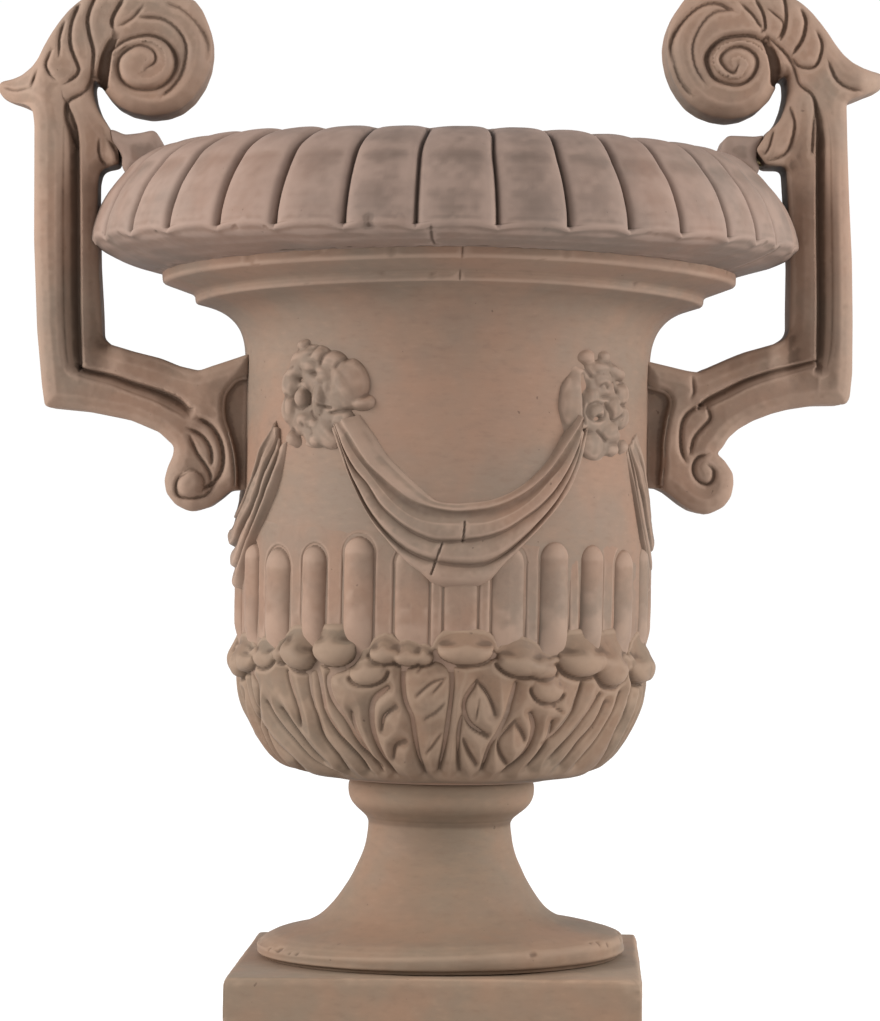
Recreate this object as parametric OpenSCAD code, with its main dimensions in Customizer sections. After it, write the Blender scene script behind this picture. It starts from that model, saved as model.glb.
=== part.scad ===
// Garden urn: bell-shaped bowl with a gadrooned rim and two scroll handles,
// on a turned foot and a square plinth.
// Frame: origin at the centre of the plinth's base, +Z up, handles along X,
// front towards -Y.

/* [Plinth] */
// Side of the square plinth
plinth_w = 376; // [350:2:400]
// Height of the plinth
plinth_h = 75; // [55:1:100]
// Wall of the plinth round the hollow beneath it
plinth_wall = 34; // [24:1:44]
// Top slab of the plinth
plinth_slab = 28; // [20:1:36]
// Turn of the plinth against the handles
plinth_turn = -3; // [-45:1:45]
// Radius of the hole through the plinth's slab
plinth_hole_r = 20; // [12:1:30]

/* [Foot] */
// Radius of the disc at the bottom of the foot
foot_disc_r = 173; // [165:1:180]
// Radius of the bore through the foot
foot_bore_r = 42; // [36:1:46]

/* [Bowl] */
// Inner radius of the bowl along the neck
inner_r = 166; // [162:1:170]
// Radius of the drain hole
drain_r = 15; // [8:1:22]
// Radius of the centring spigot under the bowl
spigot_r = 40; // [30:1:40]
// Depth of the centring spigot
spigot_h = 16; // [8:1:24]

/* [Rim] */
// Number of gadroons round the rim
gadroons = 32; // [24:2:36]
// Width of the groove between two gadroons
gadroon_gap = 4; // [2:0.5:6]
// Radius of the mouth
mouth_r = 226; // [220:1:230]

/* [Handles] */
// Width of the handles, front to back
handle_w = 90; // [70:2:100]
// Width of the pads against the wall, front to back
pad_w = 70; // [50:2:70]
// Radius of the dowels that hold the handles
dowel_r = 5; // [4:0.5:6]

/* [Ornament] */
// Turn of the ornament against the handles
ornament_turn = 3; // [-6:1:6]
// Number of reeds round the belly
reed_count = 24; // [16:4:28]
// Radius of a reed
reed_r = 13; // [10:1:15]
// Number of leaf tips round the bottom
leaf_count = 16; // [12:1:20]
// Thickness of the applied leaves
leaf_t = 6; // [4:1:8]

/* [Hidden] */

neck_r = 190;                    // outside of the bowl's wall
foot_h = 167;
bowl_z = plinth_h + foot_h;      // underside of the bowl
bowl_h = 476;                    // up to the seat of the rim
seat_z = bowl_z + bowl_h;
lip_h = 8;                       // register lip inside the rim
rosette_z = bowl_z + 348;
rosette_r = 44;
dowel_top_z = seat_z + 110;
dowel_low_z = bowl_z + 318;

clay = [0.64, 0.52, 0.45];
clay_light = [0.69, 0.57, 0.50];
clay_dark = [0.56, 0.45, 0.39];
iron = [0.35, 0.33, 0.32];

// n + 1 points on an arc about [cx, cz]
function arc_pts(cx, cz, r, a0, a1, n) =
    [for (i = [0:n]) let (a = a0 + (a1 - a0) * i / n)
        [cx + r * cos(a), cz + r * sin(a)]];

// Outer line of the bare bowl, from the edge of its flat underside up to
// the start of the neck; d moves it outwards. Heights above the underside.
function belly(d) = [
    [100 + 0.6 * d, 0], [112 + 0.15 * d, 8 - 0.95 * d], [125 + 0.15 * d, 10 - 0.95 * d],
    [134.5 + 0.33 * d, 12.6 - 0.92 * d], [143.2 + 0.47 * d, 16.3 - 0.87 * d],
    [150.8 + 0.62 * d, 21.2 - 0.78 * d], [159 + 0.75 * d, 29 - 0.66 * d],
    [166 + 0.82 * d, 38.4 - 0.57 * d], [172.8 + 0.87 * d, 49 - 0.49 * d],
    [178.5 + 0.91 * d, 60.5 - 0.42 * d], [183.3 + 0.95 * d, 71.8 - 0.3 * d],
    [186.1 + 0.98 * d, 84 - 0.16 * d], [188 + d, 98.4 - 0.06 * d], [188.5 + d, 112]];

module revolve(pts) {
    rotate_extrude($fn = 180) polygon(pts);
}

// ---- Plinth: square block, hollow beneath, with a hole in its slab
module plinth() {
    color(clay)
    rotate([0, 0, plinth_turn])
    difference() {
        union() {
            translate([-plinth_w / 2, -plinth_w / 2, 0])
                cube([plinth_w, plinth_w, plinth_h - 4]);
            // worn top arris
            translate([0, 0, plinth_h - 4])
                translate([-plinth_w / 2 + 3, -plinth_w / 2 + 3, 0])
                    cube([plinth_w - 6, plinth_w - 6, 4]);
        }
        translate([-plinth_w / 2 + plinth_wall, -plinth_w / 2 + plinth_wall, -1])
            cube([plinth_w - 2 * plinth_wall, plinth_w - 2 * plinth_wall,
                  plinth_h - plinth_slab + 1]);
        translate([0, 0, plinth_h - plinth_slab - 1])
            cylinder(r = plinth_hole_r, h = plinth_slab + 2, $fn = 64);
    }
}

// ---- Foot: disc, hollow curve and collar, hollow inside
module foot() {
    color(clay_light)
    translate([0, 0, plinth_h])
    revolve([
        [foot_disc_r - 47, 0], [foot_disc_r - 4, 0], [foot_disc_r - 3, 3],
        [foot_disc_r - 0.5, 4.5], [foot_disc_r, 6], [foot_disc_r, 14],
        [foot_disc_r - 1.5, 17], [foot_disc_r - 12, 22.5], [141, 27.5],
        [127, 31.2], [117, 34.5], [108, 40], [100, 47.5], [93.5, 56],
        [88, 64.5], [82.5, 73], [77.8, 82.5], [74, 92.5], [70.8, 102.5],
        [68.9, 112.5], [67.8, 122], [67.8, 125.5],
        // collar
        [70, 129.5], [74.5, 134], [80, 139.5], [84.5, 145], [87, 151],
        [87.8, 157], [87.4, 162], [85.8, 166], [84, 167],
        // bore and hollow
        [foot_bore_r, 167], [foot_bore_r, 52],
        [50, 44], [70, 30], [100, 16]]);
}

// ---- Bowl: thick wall, fillets under the rim, spigot and drain hole
module bowl_profile() {
    polygon(concat(
        [[drain_r, -spigot_h], [spigot_r - 2, -spigot_h], [spigot_r, -spigot_h + 2],
         [spigot_r, 0]],
        belly(0),
        [[neck_r, 126], [neck_r, 396]],
        arc_pts(neck_r + 52, 396, 52, 180, 113, 9),
        [[226, 445], [238, 447], [240, 449], [240, 455], [243, 458],
         [256, 462], [268, 466], [271, 468], [271, bowl_h],
         [240, bowl_h], [240, bowl_h + lip_h], [mouth_r, bowl_h + lip_h],
         [mouth_r, 470], [222, 460], [212, 452], [196, 443], [182, 429],
         [172, 412], [inner_r, 394], [inner_r, 112], [163, 92],
         [155, 68], [141, 46], [120, 30], [98, 25], [drain_r, 22]]));
}

module bowl() {
    color(clay)
    difference() {
        translate([0, 0, bowl_z]) rotate_extrude($fn = 180) bowl_profile();
        for (s = [-1, 1])
            translate([s * 175, 0, dowel_low_z])
                rotate([0, s * 90, 0]) cylinder(r = dowel_r, h = 40, $fn = 32);
    }
}

// ---- Rim: gadrooned ovolo, hollowed under its lip, with a lug for each handle
rim_line = [[271, 0], [306, 10], [329, 21.5], [332, 23], [332, 28], [329, 42],
            [326, 50], [322, 59], [317, 68], [311, 77], [304, 86], [296, 95.5],
            [286, 103.5], [276, 109.5], [266, 113.3], [250, 116], [238, 115]];

module rim_envelope() {
    translate([0, 0, seat_z])
        rotate_extrude($fn = 180) polygon(concat([[0, 0]], rim_line, [[0, 115]]));
}

// One gadroon groove: a thin slot in a radial plane that follows the ovolo
module gadroon_slot() {
    translate([243, 0, seat_z + 26]) rotate([90, 0, 0])
    difference() {
        cylinder(r = 125, h = gadroon_gap, center = true, $fn = 90);
        cylinder(r = 81.5, h = gadroon_gap + 1, center = true, $fn = 90);
        translate([-130, -130, -gadroon_gap]) cube([260, 121, 2 * gadroon_gap]);
        translate([-130, -130, -gadroon_gap]) cube([141, 260, 2 * gadroon_gap]);
    }
}

module rim_lug() {
    translate([0, 35, seat_z]) rotate([90, 0, 0])
        linear_extrude(height = 70)
            polygon([[308, 125], [298, 120], [276, 127], [264, 117], [250, 95],
                     [294, 85], [308, 95]]);
}

module rim() {
    color(clay_light)
    difference() {
        union() {
            difference() {
                translate([0, 0, seat_z]) rotate_extrude($fn = 180)
                    polygon(concat([[240, 0]], rim_line,
                        [[236, 112], [241, 104], [254, 95], [264, 82], [268, 68],
                         [266, 52], [258, 38], [246, 27], [mouth_r, 20],
                         [mouth_r, lip_h], [240, lip_h]]));
                for (i = [0 : gadroons - 1])
                    rotate([0, 0, ornament_turn + (i + 0.5) * 360 / gadroons])
                        gadroon_slot();
            }
            rim_lug();
            mirror([1, 0, 0]) rim_lug();
        }
        for (s = [-1, 1])
            translate([s * 284, 0, dowel_top_z])
                rotate([0, s * 90, 0]) cylinder(r = dowel_r, h = 40, $fn = 32);
    }
}

// ---- Handles: an outline in the X-Z plane, heights above the floor of the
// frame, with a groove along bar and arm and an incised volute
handle_line = [
    // volute, from the gap beside the stem round to the top
    [319, 887], [313, 882], [306, 872], [297, 863], [285, 857], [270, 854],
    [255, 857], [242, 864], [231, 875], [223, 887], [218, 902], [216, 918],
    [218, 930], [222, 942], [229, 954], [240, 965], [256, 974], [276, 979],
    [300, 980], [322, 977], [338, 971], [350, 962], [359, 950], [367, 936],
    [375, 919], [382, 900],
    // outside of the bar, down to the mitred corner
    [383, 862], [383, 740], [380, 655], [372, 585],
    // underside of the lower arm
    [330, 579], [291, 572], [266, 561], [255, 550],
    // lower scroll
    [255, 538], [261, 528], [263, 516], [260, 505], [252, 496], [242, 491],
    [231, 490], [218, 495], [209, 503], [203, 514],
    // against the wall
    [203, 600], [206, 622], [231, 617],
    // top of the lower arm
    [262, 627], [291, 633], [311, 639],
    // inside of the bar
    [318, 646], [320, 660], [323, 711], [323, 780], [320, 801], [318, 812],
    // neck against the rim's lug
    [308, 813], [308, 843], [313, 845], [322, 862], [323, 878]];

spur_line = [[382, 905], [376, 890], [383, 864], [393, 868], [407, 872],
             [416, 878], [421, 884], [409, 892], [397, 896]];

groove_line = [[364, 850], [364, 740], [361, 655], [355, 603], [326, 597],
               [288, 590], [262, 581], [258, 588], [286, 600], [326, 608],
               [343, 613], [348, 655], [350, 740], [350, 850]];

module handle_solid() {
    difference() {
        union() {
            translate([0, handle_w / 2, 0]) rotate([90, 0, 0])
                linear_extrude(height = handle_w) polygon(handle_line);
            translate([0, 22, 0]) rotate([90, 0, 0])
                linear_extrude(height = 44) polygon(spur_line);
            // pad against the wall of the bowl
            translate([0, pad_w / 2, 0]) rotate([90, 0, 0])
                linear_extrude(height = pad_w)
                    polygon([[180, 524], [204, 524], [207, 618], [196, 626],
                             [180, 632]]);
        }
        // groove along the bar and the arm, front and back
        for (s = [-1, 1])
            translate([0, s > 0 ? handle_w / 2 + 1 : -handle_w / 2 + 8, 0])
                rotate([90, 0, 0]) linear_extrude(height = 9)
                    polygon(groove_line);
        // rings cut into the faces of the upper volute and the lower scroll
        for (s = [-1, 1]) {
            for (r = [18, 38])
                translate([268, s * (handle_w / 2 - 2), 912]) rotate([90, 0, 0])
                    difference() {
                        cylinder(r = r + 3, h = 6, center = true, $fn = 64);
                        cylinder(r = r, h = 8, center = true, $fn = 64);
                    }
            translate([236, s * (handle_w / 2 - 2), 517]) rotate([90, 0, 0])
                difference() {
                    cylinder(r = 16, h = 6, center = true, $fn = 64);
                    cylinder(r = 13, h = 8, center = true, $fn = 64);
                }
        }
        // seats on the wall and on the rim
        cylinder(r = neck_r, h = 660, $fn = 180);
        rim_envelope();
        // dowel holes
        translate([280, 0, dowel_top_z]) rotate([0, 90, 0])
            cylinder(r = dowel_r, h = 52, $fn = 32);
        translate([175, 0, dowel_low_z]) rotate([0, 90, 0])
            cylinder(r = dowel_r, h = 45, $fn = 32);
    }
}

module handle_right() { color(clay) handle_solid(); }
module handle_left() { color(clay) mirror([1, 0, 0]) handle_solid(); }

module handle_dowels() {
    color(iron)
    for (s = [-1, 1]) {
        translate([s * 284, 0, dowel_top_z]) rotate([0, s * 90, 0])
            cylinder(r = dowel_r, h = 48, $fn = 32);
        translate([s * 175, 0, dowel_low_z]) rotate([0, s * 90, 0])
            cylinder(r = dowel_r, h = 45, $fn = 32);
    }
}

// ---- Rosettes: two rings of petals and a button, seated on the wall
module rosette(a) {
    color(clay_light)
    rotate([0, 0, a + ornament_turn])
    difference() {
        union() {
            translate([150, 0, rosette_z]) rotate([0, 90, 0]) {
                cylinder(r = 30, h = 48, $fn = 64);
                for (i = [0:5])
                    rotate([0, 0, i * 60 + 30]) translate([29, 0, 0])
                        cylinder(r = 15, h = 47, $fn = 48);
                for (i = [0:4])
                    rotate([0, 0, i * 72]) translate([14, 0, 0])
                        cylinder(r = 10, h = 51, $fn = 48);
                cylinder(r = 7, h = 56, $fn = 48);
            }
            // two ribbon tabs above the flower
            for (s = [-1, 1])
                translate([150, s * 8, rosette_z + 42]) rotate([0, 90, 0])
                    cylinder(r = 9, h = 46, $fn = 48);
        }
        cylinder(r = neck_r, h = 900, $fn = 180);
    }
}

// ---- Swags: crescents of cloth hung between the rosettes
swag_x = 132;
function swag_top(x) = bowl_z + 260 + 92 * pow(abs(x) / swag_x, 1.8);
function swag_low(x) = bowl_z + 186 + 140 * pow(abs(x) / swag_x, 2.4);

module swag_band(t, f0, f1) {
    n = 12;
    intersection() {
        difference() {
            cylinder(r = neck_r + t, h = 700, $fn = 180);
            translate([0, 0, -1]) cylinder(r = neck_r, h = 702, $fn = 180);
        }
        rotate([90, 0, 0]) linear_extrude(height = 260)
            polygon(concat(
                [for (i = [-n:n]) let (x = swag_x * i / n)
                    [x, swag_low(x) + (swag_top(x) - swag_low(x)) * f0]],
                [for (i = [n:-1:-n]) let (x = swag_x * i / n)
                    [x, swag_low(x) + (swag_top(x) - swag_low(x)) * f1]]));
    }
}

module swag(a) {
    color(clay_light)
    rotate([0, 0, a + ornament_turn])
    difference() {
        union() {
            swag_band(6, 0, 1);
            swag_band(11, 0.06, 0.24);
            swag_band(11, 0.40, 0.60);
            swag_band(11, 0.76, 0.94);
        }
        for (s = [-45, 45])
            rotate([0, 0, s - 90]) translate([150, 0, rosette_z])
                rotate([0, 90, 0]) cylinder(r = rosette_r + 0.5, h = 100, $fn = 64);
    }
}

// ---- Reeds: upright rounded rods on the belly, cut short under the swags
reed_low_z = bowl_z + 132;
function reed_x(a) = neck_r * sin(((a + 45) % 90) - 45);
function reed_top(a) = min(bowl_z + 230, swag_low(reed_x(a)) - 16);

module reeds() {
    color(clay_light)
    for (i = [0 : reed_count - 1])
        let (a = (i + 0.5) * 360 / reed_count)
        rotate([0, 0, a - 90 + ornament_turn])
        difference() {
            translate([neck_r - 4, 0, reed_low_z]) {
                cylinder(r = reed_r, h = reed_top(a) - reed_r - reed_low_z, $fn = 48);
                translate([0, 0, reed_top(a) - reed_r - reed_low_z])
                    sphere(r = reed_r, $fn = 48);
            }
            cylinder(r = neck_r, h = 900, $fn = 180);
        }
}

// ---- Leaf cup: a skin of leaves round the bottom, with curled tips
module leaf_cup() {
    color(clay_dark)
    difference() {
        union() {
            translate([0, 0, bowl_z]) rotate_extrude($fn = 180)
                polygon(concat([[98, 3]], belly(leaf_t),
                    [[188.5 + leaf_t, 115], [187, 117], [98, 117]]));
            // curled tips
            for (i = [0 : leaf_count - 1])
                rotate([0, 0, i * 360 / leaf_count - 90 + ornament_turn])
                    translate([150, 0, bowl_z + 110]) rotate([0, 90, 0])
                        cylinder(r = 17, h = 53, $fn = 48);
        }
        // seat on the bowl
        translate([0, 0, bowl_z]) rotate_extrude($fn = 180)
            polygon(concat([[0, -30], [100, -30]], belly(0), [[190, 126], [190, 160], [0, 160]]));
    }
}

module swag_front() { swag(0); }
module swag_right() { swag(90); }
module swag_back() { swag(180); }
module swag_left() { swag(270); }
module rosette_front_left() { rosette(-135); }
module rosette_front_right() { rosette(-45); }
module rosette_back_left() { rosette(135); }
module rosette_back_right() { rosette(45); }

plinth();
foot();
bowl();
rim();
handle_left();
handle_right();
rosette_front_left();
rosette_front_right();
rosette_back_left();
rosette_back_right();
swag_front();
swag_right();
swag_back();
swag_left();
reeds();
leaf_cup();
handle_dowels();
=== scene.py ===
import math

import bpy
import numpy as np
from mathutils import Euler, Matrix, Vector
from mathutils.geometry import delaunay_2d_cdt


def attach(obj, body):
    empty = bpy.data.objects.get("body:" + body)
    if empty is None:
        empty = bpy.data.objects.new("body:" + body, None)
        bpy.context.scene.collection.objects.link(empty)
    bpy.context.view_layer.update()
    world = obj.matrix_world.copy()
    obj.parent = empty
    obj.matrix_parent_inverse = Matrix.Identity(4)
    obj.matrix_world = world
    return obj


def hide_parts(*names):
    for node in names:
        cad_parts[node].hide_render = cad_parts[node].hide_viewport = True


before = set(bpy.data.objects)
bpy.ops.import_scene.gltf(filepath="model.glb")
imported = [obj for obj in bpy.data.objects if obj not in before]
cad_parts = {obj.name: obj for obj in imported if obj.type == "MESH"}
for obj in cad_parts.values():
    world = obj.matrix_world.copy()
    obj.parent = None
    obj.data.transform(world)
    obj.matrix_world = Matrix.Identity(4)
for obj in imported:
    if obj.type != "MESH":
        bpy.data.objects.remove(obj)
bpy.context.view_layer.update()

# ---------------------------------------------------------------------------
# The camera's own numbers (mm and picture units). The scene's camera is set
# from them, and lines traced on the picture are laid on the object with them.
# ---------------------------------------------------------------------------
CAM_D = 3750.0        # distance from the urn's axis
CAM_F = 3975.0        # focal length in picture units (the picture is 880 wide)
HOR = 490.0           # height of the horizon in the picture
CAM_Z = 513.2         # camera height above the floor
AXIS_X = 443.6        # where the axis is at ROLL_Y
ROLL_Y = 560.0
ROLL = math.radians(0.9)
YAW = math.radians(1.0)   # the camera stands 1 degree to the left of -Y
CY, SY = math.cos(YAW), math.sin(YAW)


def upright(p):
    p = np.asarray(p, float)
    c, s = math.cos(ROLL), math.sin(ROLL)
    dx, dy = p[:, 0] - AXIS_X, p[:, 1] - ROLL_Y
    return AXIS_X + c * dx + s * dy, ROLL_Y - s * dx + c * dy


def on_plane(p, y):
    """Picture points onto the plane Y = y, as (X, Z) in mm."""
    u, v = upright(p)
    y = np.asarray(y, float) + np.zeros(len(u))
    x = (u - AXIS_X) * CAM_D / CAM_F
    for _ in range(4):
        dep = CAM_D + x * SY + y * CY
        x = ((u - AXIS_X) * dep / CAM_F + y * SY) / CY
    return np.stack([x, CAM_Z + (HOR - v) * dep / CAM_F], 1)


def on_round(p, radius):
    """Picture points onto a surface of revolution, as (angle in degrees, z).
    Angle 0 faces -Y and grows towards +X."""
    u, v = upright(p)
    z = CAM_Z + (HOR - v) * (CAM_D - 190) / CAM_F
    th = np.zeros(len(u))
    for _ in range(12):
        r = radius(z)
        dep = CAM_D - r * np.cos(th)
        s = np.clip((u - AXIS_X) * dep / CAM_F / r, -0.995, 0.995)
        th = np.arcsin(s)
        z = CAM_Z + (HOR - v) * dep / CAM_F
    return np.stack([np.degrees(th) - 1.0, z], 1)


def in_picture(th_deg, r, z):
    """The reverse of on_round: where a point of the urn's surface is in the picture."""
    t = np.radians(np.asarray(th_deg, float) + 1.0)
    dep = CAM_D - r * np.cos(t)
    du = r * np.sin(t) * CAM_F / dep
    dv = HOR - (z - CAM_Z) * CAM_F / dep - ROLL_Y
    c, s = math.cos(ROLL), math.sin(ROLL)
    return AXIS_X + c * du - s * dv, ROLL_Y + s * du + c * dv


# ---------------------------------------------------------------------------
# Small numeric helpers
# ---------------------------------------------------------------------------
def smooth01(a, b, x):
    t = np.clip((x - a) / (b - a), 0, 1)
    return t * t * (3 - 2 * t)


def _hash(ix, iy, iz, seed):
    n = ix * 73856093 ^ iy * 19349663 ^ iz * 83492791 ^ (seed * 15485863)
    n = (n ^ (n >> 13)) * 1274126177
    n = n & 0x7FFFFFFF
    n = (n ^ (n >> 15)) * 1103515245
    n = n & 0x7FFFFFFF
    return n / 1073741823.5 - 1.0


def noise3(p, size, seed):
    """Smooth value noise from -1 to 1 at points p, with features of that size."""
    q = np.asarray(p, float) / size + 1000.0
    i = np.floor(q).astype(np.int64)
    f = q - i
    f = f * f * (3 - 2 * f)
    out = 0.0
    for dx in (0, 1):
        wx = f[:, 0] if dx else 1 - f[:, 0]
        for dy in (0, 1):
            wy = f[:, 1] if dy else 1 - f[:, 1]
            for dz in (0, 1):
                wz = f[:, 2] if dz else 1 - f[:, 2]
                out = out + wx * wy * wz * _hash(i[:, 0] + dx, i[:, 1] + dy, i[:, 2] + dz, seed)
    return out


def arc(cx, cz, r, a0, a1, n):
    return [(cx + r * math.cos(math.radians(a0 + (a1 - a0) * i / n)), cz + r * math.sin(math.radians(a0 + (a1 - a0) * i / n))) for i in range(n + 1)]


def dense_loop(pts, fine, turns):
    """A closed outline walked in steps of `fine`, then softened `turns` times."""
    pts = np.asarray(pts, float)
    out = []
    n = len(pts)
    for i in range(n):
        a, b = pts[i], pts[(i + 1) % n]
        k = max(1, int(round(np.linalg.norm(b - a) / fine)))
        for j in range(k):
            out.append(a + (b - a) * j / k)
    q = np.array(out)
    for _ in range(turns):
        q = 0.5 * q + 0.25 * (np.roll(q, 1, 0) + np.roll(q, -1, 0))
    return q


def pick(q, n, bend=14.0, closed=True):
    """n points of the fine line q, closer together where it bends."""
    nxt = np.roll(q, -1, 0)
    prv = np.roll(q, 1, 0)
    a, b = q - prv, nxt - q
    la, lb = np.linalg.norm(a, axis=1), np.linalg.norm(b, axis=1)
    cosang = np.clip((a * b).sum(1) / (la * lb + 1e-9), -1, 1)
    turn = np.arccos(cosang)
    if not closed:
        turn[0] = turn[-1] = 0
    k = 9
    t = turn.copy()
    for s in range(1, k):
        t = t + np.roll(turn, s) + np.roll(turn, -s)
    w = lb + bend * t / (2 * k - 1)
    if not closed:
        w = w[:-1]
    c = np.concatenate([[0], np.cumsum(w)])
    if closed:
        s = np.linspace(0, c[-1], n, endpoint=False)
        full = np.vstack([q, q[:1]])
    else:
        s = np.linspace(0, c[-1], n)
        full = q
    return np.stack([np.interp(s, c, full[:, 0]), np.interp(s, c, full[:, 1])], 1)


def spline(pts, step):
    """Catmull-Rom line through points, any number of columns, cut in short steps."""
    p = np.asarray(pts, float)
    if len(p) < 3:
        k = max(2, int(np.linalg.norm(p[1, :2] - p[0, :2]) / step) + 1)
        t = np.linspace(0, 1, k)[:, None]
        return p[0] + (p[1] - p[0]) * t
    ext = np.vstack([2 * p[0] - p[1], p, 2 * p[-1] - p[-2]])
    out = []
    for i in range(1, len(ext) - 2):
        p0, p1, p2, p3 = ext[i - 1], ext[i], ext[i + 1], ext[i + 2]
        k = max(1, int(np.linalg.norm((p2 - p1)[:2]) / step))
        for j in range(k):
            t = j / k
            out.append(0.5 * (2 * p1 + (p2 - p0) * t + (2 * p0 - 5 * p1 + 4 * p2 - p3) * t * t + (3 * p1 - p0 - 3 * p2 + p3) * t ** 3))
    out.append(p[-1])
    return np.array(out)


def eased(pts, first, last, step=1.5):
    """A profile whose part between two of its points is drawn as one smooth curve."""
    a, b = pts.index(first), pts.index(last)
    mid = [tuple(v) for v in spline(pts[a:b + 1], step).tolist()]
    return pts[:a] + mid + pts[b + 1:]


def near_line(q, line, reach):
    """For points q (N, k) and a line (M, k + extra columns): the distance (capped at
    reach), the side in the first two axes and the line's extra columns there."""
    k = q.shape[1]
    d = np.full(len(q), reach, float)
    side = np.zeros(len(q))
    extra = np.zeros((len(q), line.shape[1] - k))
    lo, hi = line[:, :k].min(0) - reach, line[:, :k].max(0) + reach
    idx = np.where(((q >= lo) & (q <= hi)).all(1))[0]
    if len(idx) == 0:
        return d, side, extra
    s = q[idx]
    bd, bs, be = d[idx], side[idx], extra[idx]
    for i in range(len(line) - 1):
        a, b = line[i, :k], line[i + 1, :k]
        ab = b - a
        m = ab.dot(ab)
        if m < 1e-12:
            continue
        lo, hi = np.minimum(a, b) - reach, np.maximum(a, b) + reach
        w = np.where(((s >= lo) & (s <= hi)).all(1))[0]
        if len(w) == 0:
            continue
        r = s[w] - a
        t = np.clip(r.dot(ab) / m, 0, 1)
        e = np.linalg.norm(r - t[:, None] * ab, axis=1)
        better = e < bd[w]
        if not better.any():
            continue
        w2 = w[better]
        bd[w2] = e[better]
        bs[w2] = np.sign(ab[0] * r[better][:, 1] - ab[1] * r[better][:, 0])
        be[w2] = line[i, k:] + t[better][:, None] * (line[i + 1, k:] - line[i, k:])
    d[idx], side[idx], extra[idx] = bd, bs, be
    return d, side, extra


def inside(q, poly):
    x, z = q[:, 0], q[:, 1]
    c = np.zeros(len(q), bool)
    n = len(poly)
    for i in range(n):
        x1, z1 = poly[i]
        x2, z2 = poly[(i + 1) % n]
        if z1 == z2:
            continue
        hit = ((z1 > z) != (z2 > z)) & (x < (x2 - x1) * (z - z1) / (z2 - z1) + x1)
        c ^= hit
    return c


# ---------------------------------------------------------------------------
# Meshes
# ---------------------------------------------------------------------------
MARK_STEP = {}


def build(name, P, quads, tris, step=3.0):
    """A mesh object in metres from points in mm, with two marks at each point that
    the clay paints with: how deep it lies in a hollow, for painted shade, and how far it stands out on an edge, for
    wear and a painted highlight."""
    me = bpy.data.meshes.new(name)
    quads = np.asarray(quads, np.int64).reshape(-1, 4)
    tris = np.asarray(tris, np.int64).reshape(-1, 3)
    me.vertices.add(len(P))
    me.vertices.foreach_set("co", (np.asarray(P, float) * 0.001).ravel().astype(np.float32))
    loops = np.concatenate([quads.ravel(), tris.ravel()]).astype(np.int32)
    me.loops.add(len(loops))
    me.loops.foreach_set("vertex_index", loops)
    start = np.concatenate([np.arange(len(quads)) * 4, len(quads) * 4 + np.arange(len(tris)) * 3]).astype(np.int32)
    me.polygons.add(len(start))
    me.polygons.foreach_set("loop_start", start)
    me.polygons.foreach_set("use_smooth", np.ones(len(start), bool))
    me.update(calc_edges=True)
    me.validate()
    n = len(me.vertices)
    co = np.empty(n * 3, np.float32)
    me.vertices.foreach_get("co", co)
    co = co.reshape(-1, 3).astype(float) * 1000
    no = np.empty(n * 3, np.float32)
    me.vertices.foreach_get("normal", no)
    no = no.reshape(-1, 3).astype(float)
    ed = np.empty(len(me.edges) * 2, np.int32)
    me.edges.foreach_get("vertices", ed)
    ed = ed.reshape(-1, 2)
    deg = np.bincount(ed.ravel(), minlength=n).astype(float) + 1e-9
    length = np.linalg.norm(co[ed[:, 0]] - co[ed[:, 1]], axis=1)
    h = max(0.8, float(np.median(length)))

    def relax(q, times):
        for _ in range(times):
            s = np.empty_like(q)
            for k in range(3):
                s[:, k] = np.bincount(ed[:, 0], q[ed[:, 1], k], minlength=n) + np.bincount(ed[:, 1], q[ed[:, 0], k], minlength=n)
            q = 0.4 * q + 0.6 * s / deg[:, None]
        return q

    t1 = int(np.clip(round(14 / h ** 2), 1, 8))
    t2 = int(np.clip(round(90 / h ** 2), 4, 40))
    a = relax(co, t1)
    b = relax(a, t2)
    fine = ((a - co) * no).sum(1) / 0.22
    wide = ((b - co) * no).sum(1) / 1.3
    both = 0.55 * fine + 0.6 * wide
    # one mark for painted shade in the hollows, one for wear and painted highlight on the edges
    for word, val in (("hollow_shade", np.clip(both, 0, 1)), ("wear_and_highlight", np.clip(-both, 0, 1))):
        at = me.attributes.new(word, "FLOAT", "POINT")
        at.data.foreach_set("value", val.astype(np.float32))
    ob = bpy.data.objects.new(name, me)
    bpy.context.scene.collection.objects.link(ob)
    return ob


def grid_quads(rows, cols, wrap_rows, wrap_cols, flip=False):
    i = np.arange(rows if wrap_rows else rows - 1)
    j = np.arange(cols if wrap_cols else cols - 1)
    I, J = np.meshgrid(i, j, indexing="ij")
    I2, J2 = (I + 1) % rows, (J + 1) % cols
    q = np.stack([I * cols + J, I * cols + J2, I2 * cols + J2, I2 * cols + J], -1).reshape(-1, 4)
    return q[:, ::-1] if flip else q


def polar(th_deg, r, z):
    t = np.radians(th_deg)
    return np.stack([r * np.sin(t), -r * np.cos(t), z], -1)


def facing_out(P, quads, centre_line=True):
    """Turns the quads round if the closed surface's volume comes out negative."""
    a, b, c, d = (P[quads[:, k]] for k in range(4))
    v = (np.cross(a, b) * c).sum() + (np.cross(a, c) * d).sum()
    return quads if v > 0 else quads[:, ::-1]


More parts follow.
